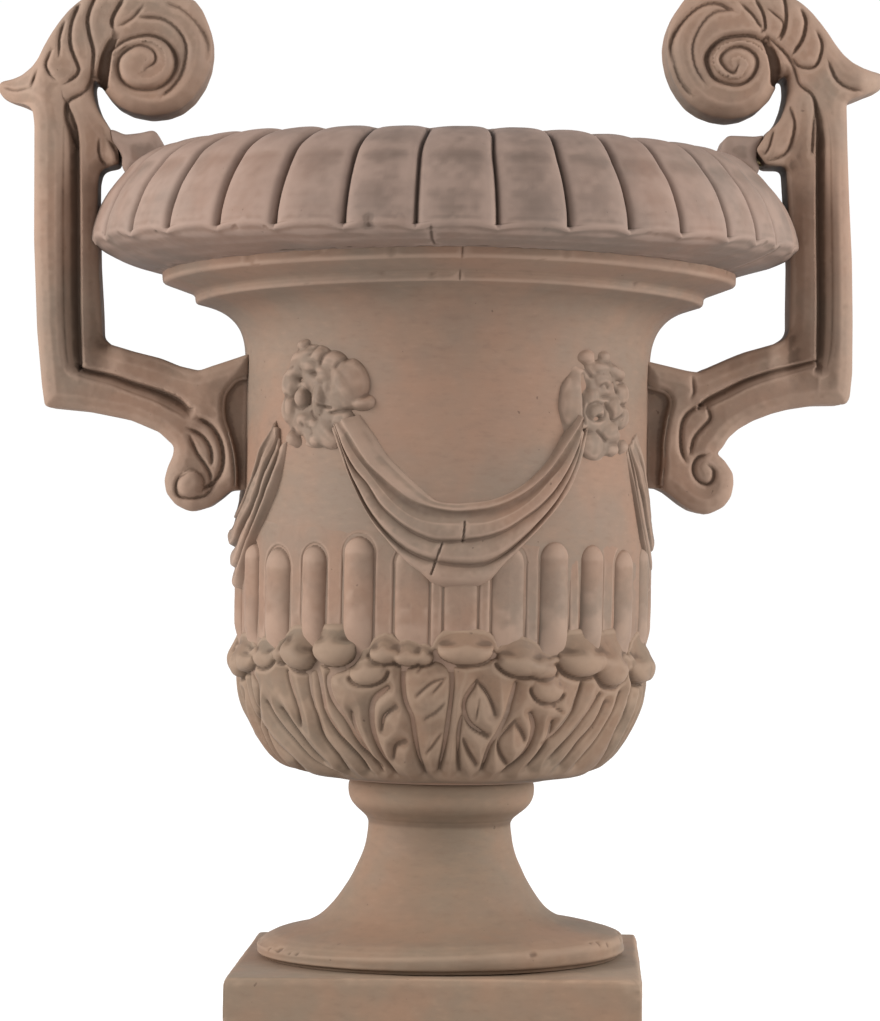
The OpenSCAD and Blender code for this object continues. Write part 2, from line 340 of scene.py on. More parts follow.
def slab_closed(top, base, wrap):
    """A closed mesh from a top grid and a base grid of the same shape (rows, cols, 3).
    With wrap, the columns go round."""
    r, c = top.shape[:2]
    P = np.concatenate([top.reshape(-1, 3), base.reshape(-1, 3)])
    off = r * c
    q = [grid_quads(r, c, False, wrap), grid_quads(r, c, False, wrap, True) + off]
    j = np.arange(c if wrap else c - 1)
    j2 = (j + 1) % c
    q.append(np.stack([j2, j, j + off, j2 + off], 1))
    e = (r - 1) * c
    q.append(np.stack([e + j, e + j2, e + j2 + off, e + j + off], 1))
    if not wrap:
        i = np.arange(r - 1)
        q.append(np.stack([i * c, (i + 1) * c, (i + 1) * c + off, i * c + off], 1))
        k = i * c + c - 1
        q.append(np.stack([k + c, k, k + off, k + c + off], 1))
    q = np.concatenate(q)
    return P, facing_out(P, q)


# ---------------------------------------------------------------------------
# Clay: unglazed, matte, mottled, pale on arrises as wear and painted highlight, with painted shade in the hollows
# ---------------------------------------------------------------------------
def new_material(name):
    m = bpy.data.materials.new(name)
    m.use_nodes = True
    nt = m.node_tree
    nt.nodes.clear()
    return m, nt


def node(nt, kind, **sets):
    n = nt.nodes.new(kind)
    for k, v in sets.items():
        setattr(n, k, v)
    return n


def noise_node(nt, vec, scale, detail, rough, seed, distort=0.0):
    n = node(nt, "ShaderNodeTexNoise", noise_dimensions="4D")
    n.inputs["Scale"].default_value = scale
    n.inputs["Detail"].default_value = detail
    n.inputs["Roughness"].default_value = rough
    n.inputs["Distortion"].default_value = distort
    n.inputs["W"].default_value = seed
    nt.links.new(vec, n.inputs["Vector"])
    return n.outputs["Fac"]


def ramp(nt, fac, lo, hi, a=0.0, b=1.0):
    n = node(nt, "ShaderNodeMapRange", interpolation_type="SMOOTHSTEP")
    n.inputs["From Min"].default_value = lo
    n.inputs["From Max"].default_value = hi
    n.inputs["To Min"].default_value = a
    n.inputs["To Max"].default_value = b
    nt.links.new(fac, n.inputs["Value"])
    return n.outputs["Result"]


def math_node(nt, op, a, b):
    n = node(nt, "ShaderNodeMath", operation=op)
    for s, v in ((0, a), (1, b)):
        if hasattr(v, "is_output"):
            nt.links.new(v, n.inputs[s])
        else:
            n.inputs[s].default_value = v
    return n.outputs[0]


def mix(nt, fac, a, b, how="MIX"):
    n = node(nt, "ShaderNodeMix", data_type="RGBA", blend_type=how)
    for sock, v in ((0, fac), (6, a), (7, b)):
        if hasattr(v, "is_output"):
            nt.links.new(v, n.inputs[sock])
        elif isinstance(v, tuple):
            n.inputs[sock].default_value = (*v, 1)
        else:
            n.inputs[sock].default_value = v
    return n.outputs[2]


def clay(name, base, seed, light=1.0, hollow_shade_depth=0.5, wear_and_highlight_amount=0.4, grain=(1, 1, 1), painted_mid_shade=0.0, mottle=1.0, painted_light_band=None):
    m, nt = new_material(name)
    tc = node(nt, "ShaderNodeTexCoord")
    obj = tc.outputs["Object"]
    mp = node(nt, "ShaderNodeMapping")
    mp.inputs["Scale"].default_value = grain
    nt.links.new(obj, mp.inputs["Vector"])
    drawn = mp.outputs["Vector"]
    base = tuple(light * c for c in base)
    grey = (base[0] * 0.88, base[1] * 0.985, base[2] * 1.04)
    rosy = (base[0] * 1.09, base[1] * 1.01, base[2] * 0.98)
    pale = (min(1, base[0] * 1.55), min(1, base[1] * 1.64), min(1, base[2] * 1.74))
    dark = (base[0] * 0.30, base[1] * 0.25, base[2] * 0.21)
    big = noise_node(nt, obj, 8.0, 4.0, 0.6, seed + 0.3)
    mid = noise_node(nt, drawn, 26.0, 4.0, 0.6, seed + 1.7)
    fine = noise_node(nt, drawn, 130.0, 4.0, 0.6, seed + 2.9)
    spot = noise_node(nt, obj, 520.0, 2.0, 0.5, seed + 4.1)
    pit = noise_node(nt, obj, 170.0, 1.5, 0.4, seed + 5.3)
    c = mix(nt, ramp(nt, big, 0.36, 0.64), grey, rosy)
    c = mix(nt, ramp(nt, mid, 0.50, 0.74, 0.0, 0.45 * mottle), c, tuple(x * 1.18 for x in base))
    c = mix(nt, ramp(nt, mid, 0.48, 0.26, 0.0, 0.50 * mottle), c, tuple(x * 0.82 for x in base))
    c = mix(nt, ramp(nt, fine, 0.50, 0.26, 0.0, 0.42), c, tuple(x * 0.76 for x in base))
    c = mix(nt, ramp(nt, fine, 0.52, 0.74, 0.0, 0.35), c, tuple(x * 1.26 for x in base))
    c = mix(nt, ramp(nt, pit, 0.262, 0.225, 0.0, 0.5), c, dark)
    if painted_mid_shade:
        # painted shade: a cool grey over the middle of the front and back above the rim's lip, where less of the side
        # lights falls, ragged at its sides
        xyz = node(nt, "ShaderNodeSeparateXYZ")
        nt.links.new(obj, xyz.inputs["Vector"])
        off = math_node(nt, "ADD", math_node(nt, "ABSOLUTE", xyz.outputs["X"], 0.0), math_node(nt, "MULTIPLY", big, 0.07))
        c = mix(nt, math_node(nt, "MULTIPLY", ramp(nt, off, 0.25, 0.085, 0.0, painted_mid_shade), ramp(nt, xyz.outputs["Z"], 0.738, 0.752)), c, (base[0] * 0.60, base[1] * 0.635, base[2] * 0.655))
    if painted_light_band:
        # painted light: a band made paler where shade falls, from this height to that one, and how much
        xyz = node(nt, "ShaderNodeSeparateXYZ")
        nt.links.new(obj, xyz.inputs["Vector"])
        c = mix(nt, ramp(nt, xyz.outputs["Z"], painted_light_band[0], painted_light_band[1]), c, (painted_light_band[2], painted_light_band[2], painted_light_band[2]), "MULTIPLY")
    # pale arrises: partly wear and partly a painted highlight on edges and raised tops
    wear_and_highlight = node(nt, "ShaderNodeAttribute", attribute_name="wear_and_highlight").outputs["Fac"]
    hollow_shade = node(nt, "ShaderNodeAttribute", attribute_name="hollow_shade").outputs["Fac"]
    wn = ramp(nt, mid, 0.30, 0.62, 0.45, 1.0)
    w = math_node(nt, "MULTIPLY", ramp(nt, wear_and_highlight, 0.12, 0.90, 0.0, wear_and_highlight_amount), wn)
    c = mix(nt, w, c, pale)
    # painted shade: the hollows are darkened by how deep they lie
    c = mix(nt, ramp(nt, hollow_shade, 0.10, 1.0, 0.0, hollow_shade_depth), c, dark)
    bs = node(nt, "ShaderNodeBsdfPrincipled")
    bs.inputs["Specular IOR Level"].default_value = 0.30
    nt.links.new(c, bs.inputs["Base Color"])
    nt.links.new(ramp(nt, mid, 0.25, 0.75, 0.68, 0.84), bs.inputs["Roughness"])
    h1 = math_node(nt, "MULTIPLY", fine, 0.35)
    h2 = math_node(nt, "MULTIPLY", spot, 0.16)
    h3 = math_node(nt, "MULTIPLY", ramp(nt, pit, 0.262, 0.22), -0.8)
    h = math_node(nt, "ADD", math_node(nt, "ADD", h1, h2), h3)
    bump = node(nt, "ShaderNodeBump")
    bump.inputs["Strength"].default_value = 0.35
    bump.inputs["Distance"].default_value = 0.0008
    nt.links.new(h, bump.inputs["Height"])
    nt.links.new(bump.outputs["Normal"], bs.inputs["Normal"])
    out = node(nt, "ShaderNodeOutputMaterial")
    nt.links.new(bs.outputs["BSDF"], out.inputs["Surface"])
    return m


BASE = (0.164, 0.1045, 0.0725)
LOW = (0.164, 0.1055, 0.0690)
MAT = {
    # the plinth's top and the foot's collar get bands of painted light where they lie in shade
    "plinth": clay("clay_plinth", LOW, 11.0, 1.07, grain=(0.6, 0.6, 1.4), painted_light_band=(0.0720, 0.0745, 1.18)),
    "foot": clay("clay_foot", LOW, 23.0, 1.0, grain=(0.6, 0.6, 1.8), painted_light_band=(0.212, 0.226, 1.24)),
    "bowl": clay("clay_bowl", BASE, 37.0, 1.05, wear_and_highlight_amount=0.62, grain=(0.6, 0.6, 1.7)),
    # the rim gets painted grey shade over the middle of its top
    "rim": clay("clay_rim", (0.152, 0.0995, 0.0745), 41.0, 1.0, hollow_shade_depth=0.8, wear_and_highlight_amount=0.7, painted_mid_shade=0.86, mottle=0.5),
    "handle": clay("clay_handle", BASE, 59.0, 1.06, hollow_shade_depth=0.54, wear_and_highlight_amount=0.50, mottle=0.8),
    "ornament": clay("clay_ornament", BASE, 71.0, 1.0, hollow_shade_depth=0.50, wear_and_highlight_amount=0.62),
    # the leaf cup's light factor is set low as painted shade under the belly
    "leaf": clay("clay_leaf", LOW, 83.0, 0.87, hollow_shade_depth=0.58, wear_and_highlight_amount=0.60, mottle=0.8),
}


def place(ob, body, mat, nodes=()):
    ob.data.materials.append(MAT[mat])
    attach(ob, body)
    if nodes:
        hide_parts(*nodes)
    return ob


# ---------------------------------------------------------------------------
# Turned pieces
# ---------------------------------------------------------------------------
def turned(name, prof, n_rows, n_cols, soften, shape=None, fine=1.2, bend=14.0, cols=None):
    q = dense_loop(prof, fine, soften)
    q = pick(q, n_rows, bend)
    th = np.linspace(0, 360, n_cols, endpoint=False) if cols is None else cols
    TH, R = np.meshgrid(th, q[:, 0])
    Z = np.repeat(q[:, 1][:, None], len(th), 1)
    # outward direction of the profile, for wobble along the surface's normal
    d = np.roll(q, -1, 0) - np.roll(q, 1, 0)
    d /= np.linalg.norm(d, axis=1)[:, None] + 1e-9
    area = 0.5 * (q[:, 0] * np.roll(q[:, 1], -1) - np.roll(q[:, 0], -1) * q[:, 1]).sum()
    nr, nz = (d[:, 1], -d[:, 0]) if area > 0 else (-d[:, 1], d[:, 0])
    NR, NZ = np.repeat(nr[:, None], len(th), 1), np.repeat(nz[:, None], len(th), 1)
    if shape is not None:
        R, Z = shape(TH, R, Z, NR, NZ, q)
    P = polar(TH, R, Z).reshape(-1, 3)
    quads = facing_out(P, grid_quads(len(q), len(th), True, True))
    return P, quads, TH, R, Z


def wobble(P, sizes, seed):
    out = 0
    for k, (size, amp) in enumerate(sizes):
        out = out + amp * noise3(P, size, seed + 7 * k)
    return out


# Plinth: a square slab on a hollow wall, a hole through its middle
def make_plinth():
    turn = -3.0
    half = 189.0
    rows = []  # (inset from the square, z, roundness of the outline)
    hole = half - 20.0

    def line(a, b, n):
        for i in range(n):
            t = i / n
            rows.append((a[0] + (b[0] - a[0]) * t, a[1] + (b[1] - a[1]) * t))

    loop = [(hole, 47.0), (34.0, 47.0), (34.0, 0.6), (0.6, 0.0), (0.0, 0.8), (0.0, 69.0), (2.6, 74.4), (5.0, 75.0), (hole, 75.0)]
    q = dense_loop(loop, 1.0, 4)
    q = pick(q, 190, 10.0)
    ins, z = q[:, 0], q[:, 1]
    # outline: four sides and four small rounded corners
    side, corner = 52, 7
    ang, sq = [], []
    rc = 3.2
    for k in range(4):
        a0 = 90 * k
        for i in range(side):
            t = (i + 0.5) / side * 2 - 1
            sq.append((1.0, t * (half - rc) / half, k, 0))
        for i in range(corner):
            sq.append((1.0, 1.0, k, (i + 0.5) / corner * 90))
    cols = len(sq)
    P = np.zeros((len(q), cols, 3))
    for j, (sx, t, k, ca) in enumerate(sq):
        h = half - ins
        r = np.clip(rc * (h / half), 0.5, None)
        if ca == 0:
            x, y = h, t * h
        else:
            x = (h - r) + r * math.cos(math.radians(ca))
            y = (h - r) + r * math.sin(math.radians(ca))
        a = math.radians(90 * k)
        X, Y = x * math.cos(a) - y * math.sin(a), x * math.sin(a) + y * math.cos(a)
        w = smooth01(110, 40, h)
        # towards the hole the outline turns into a circle
        dirn = np.sqrt(X ** 2 + Y ** 2) + 1e-9
        cx, cy = X / dirn * h, Y / dirn * h
        P[:, j, 0] = X * (1 - w) + cx * w
        P[:, j, 1] = Y * (1 - w) + cy * w
        P[:, j, 2] = z
    P = P.reshape(-1, 3)
    quads = facing_out(P, grid_quads(len(q), cols, True, True))
    outer = smooth01(8, 0, np.maximum(np.abs(P[:, 0]), np.abs(P[:, 1])) * -1 + half)
    n = wobble(P, [(70, 0.7), (18, 0.35), (5, 0.16)], 5)
    # worn arrises: the top edge and the upright corners dip in places
    edge = smooth01(7, 0, np.abs(P[:, 2] - 74)) * outer
    upright_edge = smooth01(14, 2, np.hypot(half - np.abs(P[:, 0]), half - np.abs(P[:, 1])))
    chip = smooth01(0.25, 0.75, noise3(P, 16, 91)) * 1.6 + smooth01(0.1, 0.6, noise3(P, 44, 93)) * 0.8
    sgn = np.sign(P)
    big = np.abs(P[:, 0]) > np.abs(P[:, 1])
    push = np.zeros_like(P)
    push[:, 0] = np.where(big, sgn[:, 0], 0) * outer
    push[:, 1] = np.where(big, 0, sgn[:, 1]) * outer
    flat = smooth01(73.5, 75, P[:, 2]) * (1 - outer)
    push[:, 2] = flat
    P = P + push * (n * 0.9 - 0.45)[:, None]
    P[:, 2] -= edge * chip * 1.1 + upright_edge * (P[:, 2] > 60) * chip * 0.8
    P[:, :2] -= sgn[:, :2] * (upright_edge * (0.5 + chip))[:, None] * 0.8
    # the corner at the front right is bruised
    bruise = smooth01(15, 0, np.linalg.norm(P - np.array([187, -188, 74.0]), axis=1))
    P[:, 2] -= bruise * 3.5
    P[:, 0] -= bruise * 1.5
    P[:, 2] = np.clip(P[:, 2], 0, 75.0)
    a = math.radians(turn)
    X, Y = P[:, 0].copy(), P[:, 1].copy()
    P[:, 0] = X * math.cos(a) - Y * math.sin(a)
    P[:, 1] = X * math.sin(a) + Y * math.cos(a)
    # the block is a little higher at its right and sits a little to that side
    P[:, 2] += P[:, 0] * math.tan(math.radians(0.8)) * P[:, 2] / 75.0
    P[:, 0] += 2.2
    ob = build("plinth_clay_block", P, quads, [])
    place(ob, "base", "plinth", ("plinth",))


FOOT = [(126, 75), (167, 75), (168.5, 78), (172.6, 79.3), (173.5, 81), (173.6, 90), (172, 92), (166, 95.6), (156, 99.2), (140, 102.6), (128, 105.4), (117, 109.5), (108, 115), (100, 122.5), (93.5, 131), (88, 139.5), (83, 148), (78.5, 157.5), (74, 167.5), (70.7, 177.5), (68.8, 187.5), (67.6, 197), (67.5, 201), (69.5, 205), (74.5, 209.5), (80.5, 214.5), (85, 220), (87.3, 226), (87.8, 232), (87.4, 237), (85.5, 241), (82, 242), (42, 242), (42, 127), (50, 119), (70, 105), (100, 91)]


def make_foot():
    def shape(TH, R, Z, NR, NZ, q):
        P = polar(TH, R, Z).reshape(-1, 3)
        n = wobble(P, [(90, 0.7), (26, 0.30), (7, 0.10)], 15).reshape(R.shape)
        keep = smooth01(75.5, 80, Z) * smooth01(242, 238, Z) * (R > 43)
        t = np.radians(TH)
        outer = np.where(Z < 100, smooth01(127, 140, R), smooth01(45, 60, R))
        # the disc sits askew: its right side is higher
        tilt = np.interp(Z, [75, 78, 79.5, 90, 92, 98.5, 102, 107.9, 115, 122], [2.4, 2.6, 3.2, 4.9, 6.2, 4.2, 3.8, 1.8, 0.5, 0]) * outer
        up = smooth01(79, 86, Z) * smooth01(104, 98, Z) * outer
        R2 = R + NR * n * keep + up * (1.0 * np.sin(2 * t + 1.0) + 0.5 * np.sin(3 * t))
        Z2 = Z + NZ * n * keep * 0.5 + tilt * np.sin(t) + up * 0.7 * np.sin(2 * t + 0.6)
        # small nicks along the disc's upper arris
        arris = np.exp(-((Z - 91.5) / 3.0) ** 2) * (R > 168)
        nick = smooth01(0.35, 0.8, noise3(P, 9, 53)).reshape(R.shape)
        Z2 = Z2 - arris * nick * 1.5
        R2 = R2 - arris * nick * 1.2
        return R2, Z2

    P, quads, TH, R, Z = turned("foot", eased(eased(FOOT, (166, 95.6), (67.5, 201)), (69.5, 205), (85.5, 241)), 250, 288, 2, shape, fine=1.0)
    r = np.hypot(P[:, 0], P[:, 1])
    z0 = P[:, 2]
    out = np.where(z0 < 100, smooth01(127, 140, r), smooth01(45, 60, r))
    P[:, 0] += np.interp(z0, [75, 95, 120, 200, 215, 242], [3.2, 2.0, 0, 0, 1.2, 1.5]) * out
    P[:, 2] = np.clip(P[:, 2], 72.0, 242)
    P[:, 2] = np.where((r < 60) | (out < 0.02), np.maximum(P[:, 2], 75), P[:, 2])
    ob = build("foot_turned", P, quads, [])
    place(ob, "base", "foot", ("foot",))


BOWL_Z = 242.0
SEAT_Z = 718.0
# the bare wall, absolute heights
WALL = [(100, 242), (112, 250), (125, 252), (134.5, 254.6), (143.2, 258.3), (150.8, 263.2), (159, 271), (166, 280.4), (172.8, 291), (178.5, 302.5), (183.3, 313.8), (186.1, 326), (188, 340.4), (189.3, 356), (190.2, 372), (190.5, 400), (190.5, 560), (190.5, 638), (192.2, 650), (196, 661), (201.5, 669.5), (209, 676.6), (218, 681.8), (227, 685)]
FILLETS = [(237.5, 688), (238.6, 690), (239, 694.6), (241.5, 697), (254, 701.5), (265, 705.5), (268.6, 707), (269.6, 709), (270, 718)]


def arch(TH):
    return 10.5 * np.abs(np.cos(np.radians(TH))) ** 1.5


def make_bowl():
    prof = eased(WALL, (190.5, 638), (227, 685)) + FILLETS + [(240, 718), (240, 726), (226, 726), (226, 712), (222, 702), (212, 694), (196, 685), (182, 671), (172, 654), (166, 636), (166, 354), (163, 334), (155, 310), (141, 288), (120, 272), (98, 267), (15, 264), (15, 226), (38, 226), (40, 228), (40, 242)]

    def shape(TH, R, Z, NR, NZ, q):
        P = polar(TH, R, Z).reshape(-1, 3)
        n = wobble(P, [(130, 0.9), (40, 0.35), (11, 0.10)], 25).reshape(R.shape)
        keep = ((R > 60) & (Z > 244)) * smooth01(725, 716, Z)
        t = np.radians(TH)
        rows = np.arange(len(q))
        turn_at = np.argmax(q[:, 1] > 716.5)
        outside = (rows <= turn_at + 3)[:, None] * 1.0
        lip = smooth01(684, 689, Z) * (R > 224) * outside
        chips = smooth01(0.45, 0.85, noise3(P, 11, 97)).reshape(R.shape) * lip * ((NR > 0.5) & (NZ < 0.2))
        R2 = R + NR * n * keep - chips * 0.9
        fade = smooth01(640, 686, Z) * outside
        lean = smooth01(640, 685, Z) * math.tan(math.radians(0.75)) * outside
        side = np.sin(t) * np.where(np.sin(t) > 0, 0.25, 1.0)
        Z2 = Z + NZ * n * keep * 0.6 + fade * arch(TH) + lean * R * side + lip * 0.35 * np.sin(5 * t)
        # a crack runs down through the two fillets, right of the middle
        line = 1.2 + (Z - 693) * 0.012
        da = (TH - line + 180) % 360 - 180
        crack = np.exp(-(da * np.radians(1) * R / 1.1) ** 2)
        R2 = R2 - crack * 2.0 * smooth01(685, 690, Z) * smooth01(0.2, 0.6, NR) * outside
        return R2, Z2

    th = np.linspace(0, 360, 300, endpoint=False)
    th = np.sort(np.unique(np.concatenate([th, [0.95, 1.1, 1.3, 1.45, 1.7]])))
    P, quads, *_ = turned("bowl", prof, 330, 0, 1, shape, cols=th, fine=1.0, bend=18.0)
    r = np.hypot(P[:, 0], P[:, 1])
    P[:, 0] += np.interp(P[:, 2], [242, 360, 400, 640, 700, 716], [-0.7, -0.7, 1.0, 1.2, 1.5, 1.0]) * smooth01(176, 188, r)
    ob = build("bowl_bell", P, quads, [])
    place(ob, "urn", "bowl", ("bowl",))


RIM_GROOVES = [-71.3, -59.8, -49.1, -37.9, -27.3, -15.9, -4.8, 7.6, 18.8, 29.1, 39.0, 49.8, 58.3, 65.7]
RIM = [(268, 715.5), (288, 721), (306, 727), (322, 734), (330, 739.6), (332.2, 742), (332.4, 744.5), (331.3, 752), (329, 760), (326, 768), (322, 777), (317, 786), (311, 795), (304, 804), (296, 813.5), (286, 821.5), (276, 827.3), (266, 831.2), (256, 833.4), (247, 834.4), (240, 833), (236.5, 829), (241, 822), (254, 813), (264, 800), (268, 786), (266, 770), (258, 756), (246, 745), (226, 738), (226, 726), (240, 726), (240, 718)]


def make_rim():
    rng = np.random.default_rng(4)
    g = [a - 0.6 for a in RIM_GROOVES]
    gap = (360 - (g[-1] - g[0])) / 19.0
    k = 1
    while len(g) < 32:
        g.append(g[len(RIM_GROOVES) - 1] + gap * k + float(rng.uniform(-0.7, 0.7)))
        k += 1
    g = np.array(sorted(g))
    # columns: more of them near each groove
    th = []
    for i in range(len(g)):
        a, b = g[i], g[(i + 1) % len(g)] + (360 if i + 1 == len(g) else 0)
        s = np.linspace(0, 1, 31)[:-1]
        w = 0.5 - 0.5 * np.cos(np.pi * s)
        th.append(a + (b - a) * (0.78 * w + 0.22 * s))
    th = np.concatenate(th)
    hi = np.append(g[1:], g[0] + 360)
    per_all = rng.uniform(-1, 1, 32)

    def shape(TH, R, Z, NR, NZ, q):
        P = polar(TH, R, Z).reshape(-1, 3)
        idx = np.clip(np.searchsorted(g, TH.ravel(), side="right") - 1, 0, 31).reshape(TH.shape)
        a, b = g[idx], hi[idx]
        t = (TH - a) / (b - a) * 2 - 1
        mm = np.minimum(TH - a, b - TH) * np.radians(1) * R
        face = ((R > 250) | (Z > 828)) & (Z > 738) & (NR * 1.0 + NZ * 0.9 > -0.1) & ((NR > -0.5) | (Z > 828))
        on = smooth01(738.5, 744, Z) * face * smooth01(238, 252, R)
        per = per_all[idx]
        bulge = -1.8 * np.abs(t) ** 3
        lean = (0.9 + 0.4 * per) * t
        vee = -5.4 * np.exp(-(mm / 2.3) ** 1.6) * (0.8 + 0.2 * smooth01(741, 748, Z)) - 2.2 * np.exp(-mm / 6.5)
        n = wobble(P, [(90, 0.7), (24, 0.30), (7, 0.10)], 35).reshape(R.shape)
        off = on * (bulge + lean + vee)
        keep = smooth01(719.0, 725.0, Z) * (R > 242)
        R2 = R + NR * (off + n * keep)
        Z2 = Z + NZ * (off + n * keep) * 0.9
        # each panel's lower edge is arched, with its corners drawn down at the grooves
        edge = smooth01(322, 331, R) * smooth01(757, 745, Z) * smooth01(733, 738, Z)
        nick = smooth01(0.40, 0.8, noise3(P, 9, 77)).reshape(R.shape)
        Z2 = Z2 + edge * (0.9 - 2.9 * np.abs(t) ** 3.0 + 0.9 * nick + 0.4 * per)
        # a chip out of one lower edge
        chip_at = on_round([(372, 225)], lambda z: 331.0)[0, 0]
        chip = np.exp(-((TH - chip_at) * np.radians(1) * R / 6.0) ** 2) * smooth01(320, 331, R) * smooth01(756, 742, Z)
        R2 = R2 - chip * 2.0
        Z2 = Z2 + chip * 1.2
        # under the rim: the arch and lean of the fillets die out towards the lip
        soff = np.clip((331 - R) / 62.0, 0, 1) * (NZ < 0.1) * (Z < 742) * (R > 255)
        side = np.sin(np.radians(TH))
        Z2 = Z2 + soff * (arch(TH) + R * side * np.where(side > 0, 0.25, 1.0) * math.tan(math.radians(0.75)))
        drag = noise3(P * np.array([1, 1, 3.0]), 30, 61).reshape(R.shape)
        Z2 = Z2 + smooth01(742, 734, Z) * (R > 272) * (NZ < 0) * drag * 0.6
        # ragged seam against the bowl
        seam = smooth01(280, 270, R) * (Z < 724) * (NZ < 0.2)
        rag = noise3(P, 7, 67).reshape(R.shape)
        Z2 = Z2 + seam * (0.2 + 0.8 * np.clip(rag, -0.2, 1)) * 1.1
        # cracks in the soffit: one at the right, one by the middle
        for pts, dep in ((((747, 246), (779, 261)), 2.6), (((434, 229), (438, 242)), 1.2)):
            (a1, a2) = [on_round([p], lambda z: rr)[0, 0] for p, rr in zip(pts, (290.0 if pts[0][0] > 700 else 328.0, 326.0 if pts[0][0] > 700 else 285.0))]
            r1, r2 = (284.0, 330.0) if pts[0][0] > 700 else (330.0, 278.0)
            line = np.interp(R, [min(r1, r2), max(r1, r2)], [a1, a2] if r1 < r2 else [a2, a1])
            w = smooth01(min(r1, r2) - 3, min(r1, r2) + 4, R) * (NZ < 0) * (Z < 743)
            Z2 = Z2 + dep * w * np.exp(-((TH - line) * np.radians(1) * R / 1.2) ** 2)
        return R2, Z2

    P, quads, *_ = turned("rim", eased(RIM, (331.3, 752), (240, 833)), 160, 0, 1, shape, cols=th, bend=30.0, fine=0.8)
    r = np.hypot(P[:, 0], P[:, 1])
    P[:, 0] += -3.6 * smooth01(262, 300, r)
    # the top of the roll falls a little towards both sides
    P[:, 2] -= smooth01(780, 812, P[:, 2]) * np.where(P[:, 0] > 0, 2.3 * smooth01(90, 180, P[:, 0]), 1.2 * smooth01(180, 260, -P[:, 0]))
    ob = build("rim_gadrooned", P, quads, [])
    place(ob, "urn", "rim", ("rim",))


# ---------------------------------------------------------------------------
# Flat-sided carved pieces (handles and lugs): an outline in X and Z, a carved
# front and back, and an uneven wall between them
# ---------------------------------------------------------------------------
def even_loop(p, step):
    q = np.vstack([p, p[:1]])
    s = np.concatenate([[0], np.cumsum(np.linalg.norm(np.diff(q, axis=0), axis=1))])
    n = int(s[-1] / step)
    t = np.linspace(0, s[-1], n, endpoint=False)
    return np.stack([np.interp(t, s, q[:, 0]), np.interp(t, s, q[:, 1])], 1)


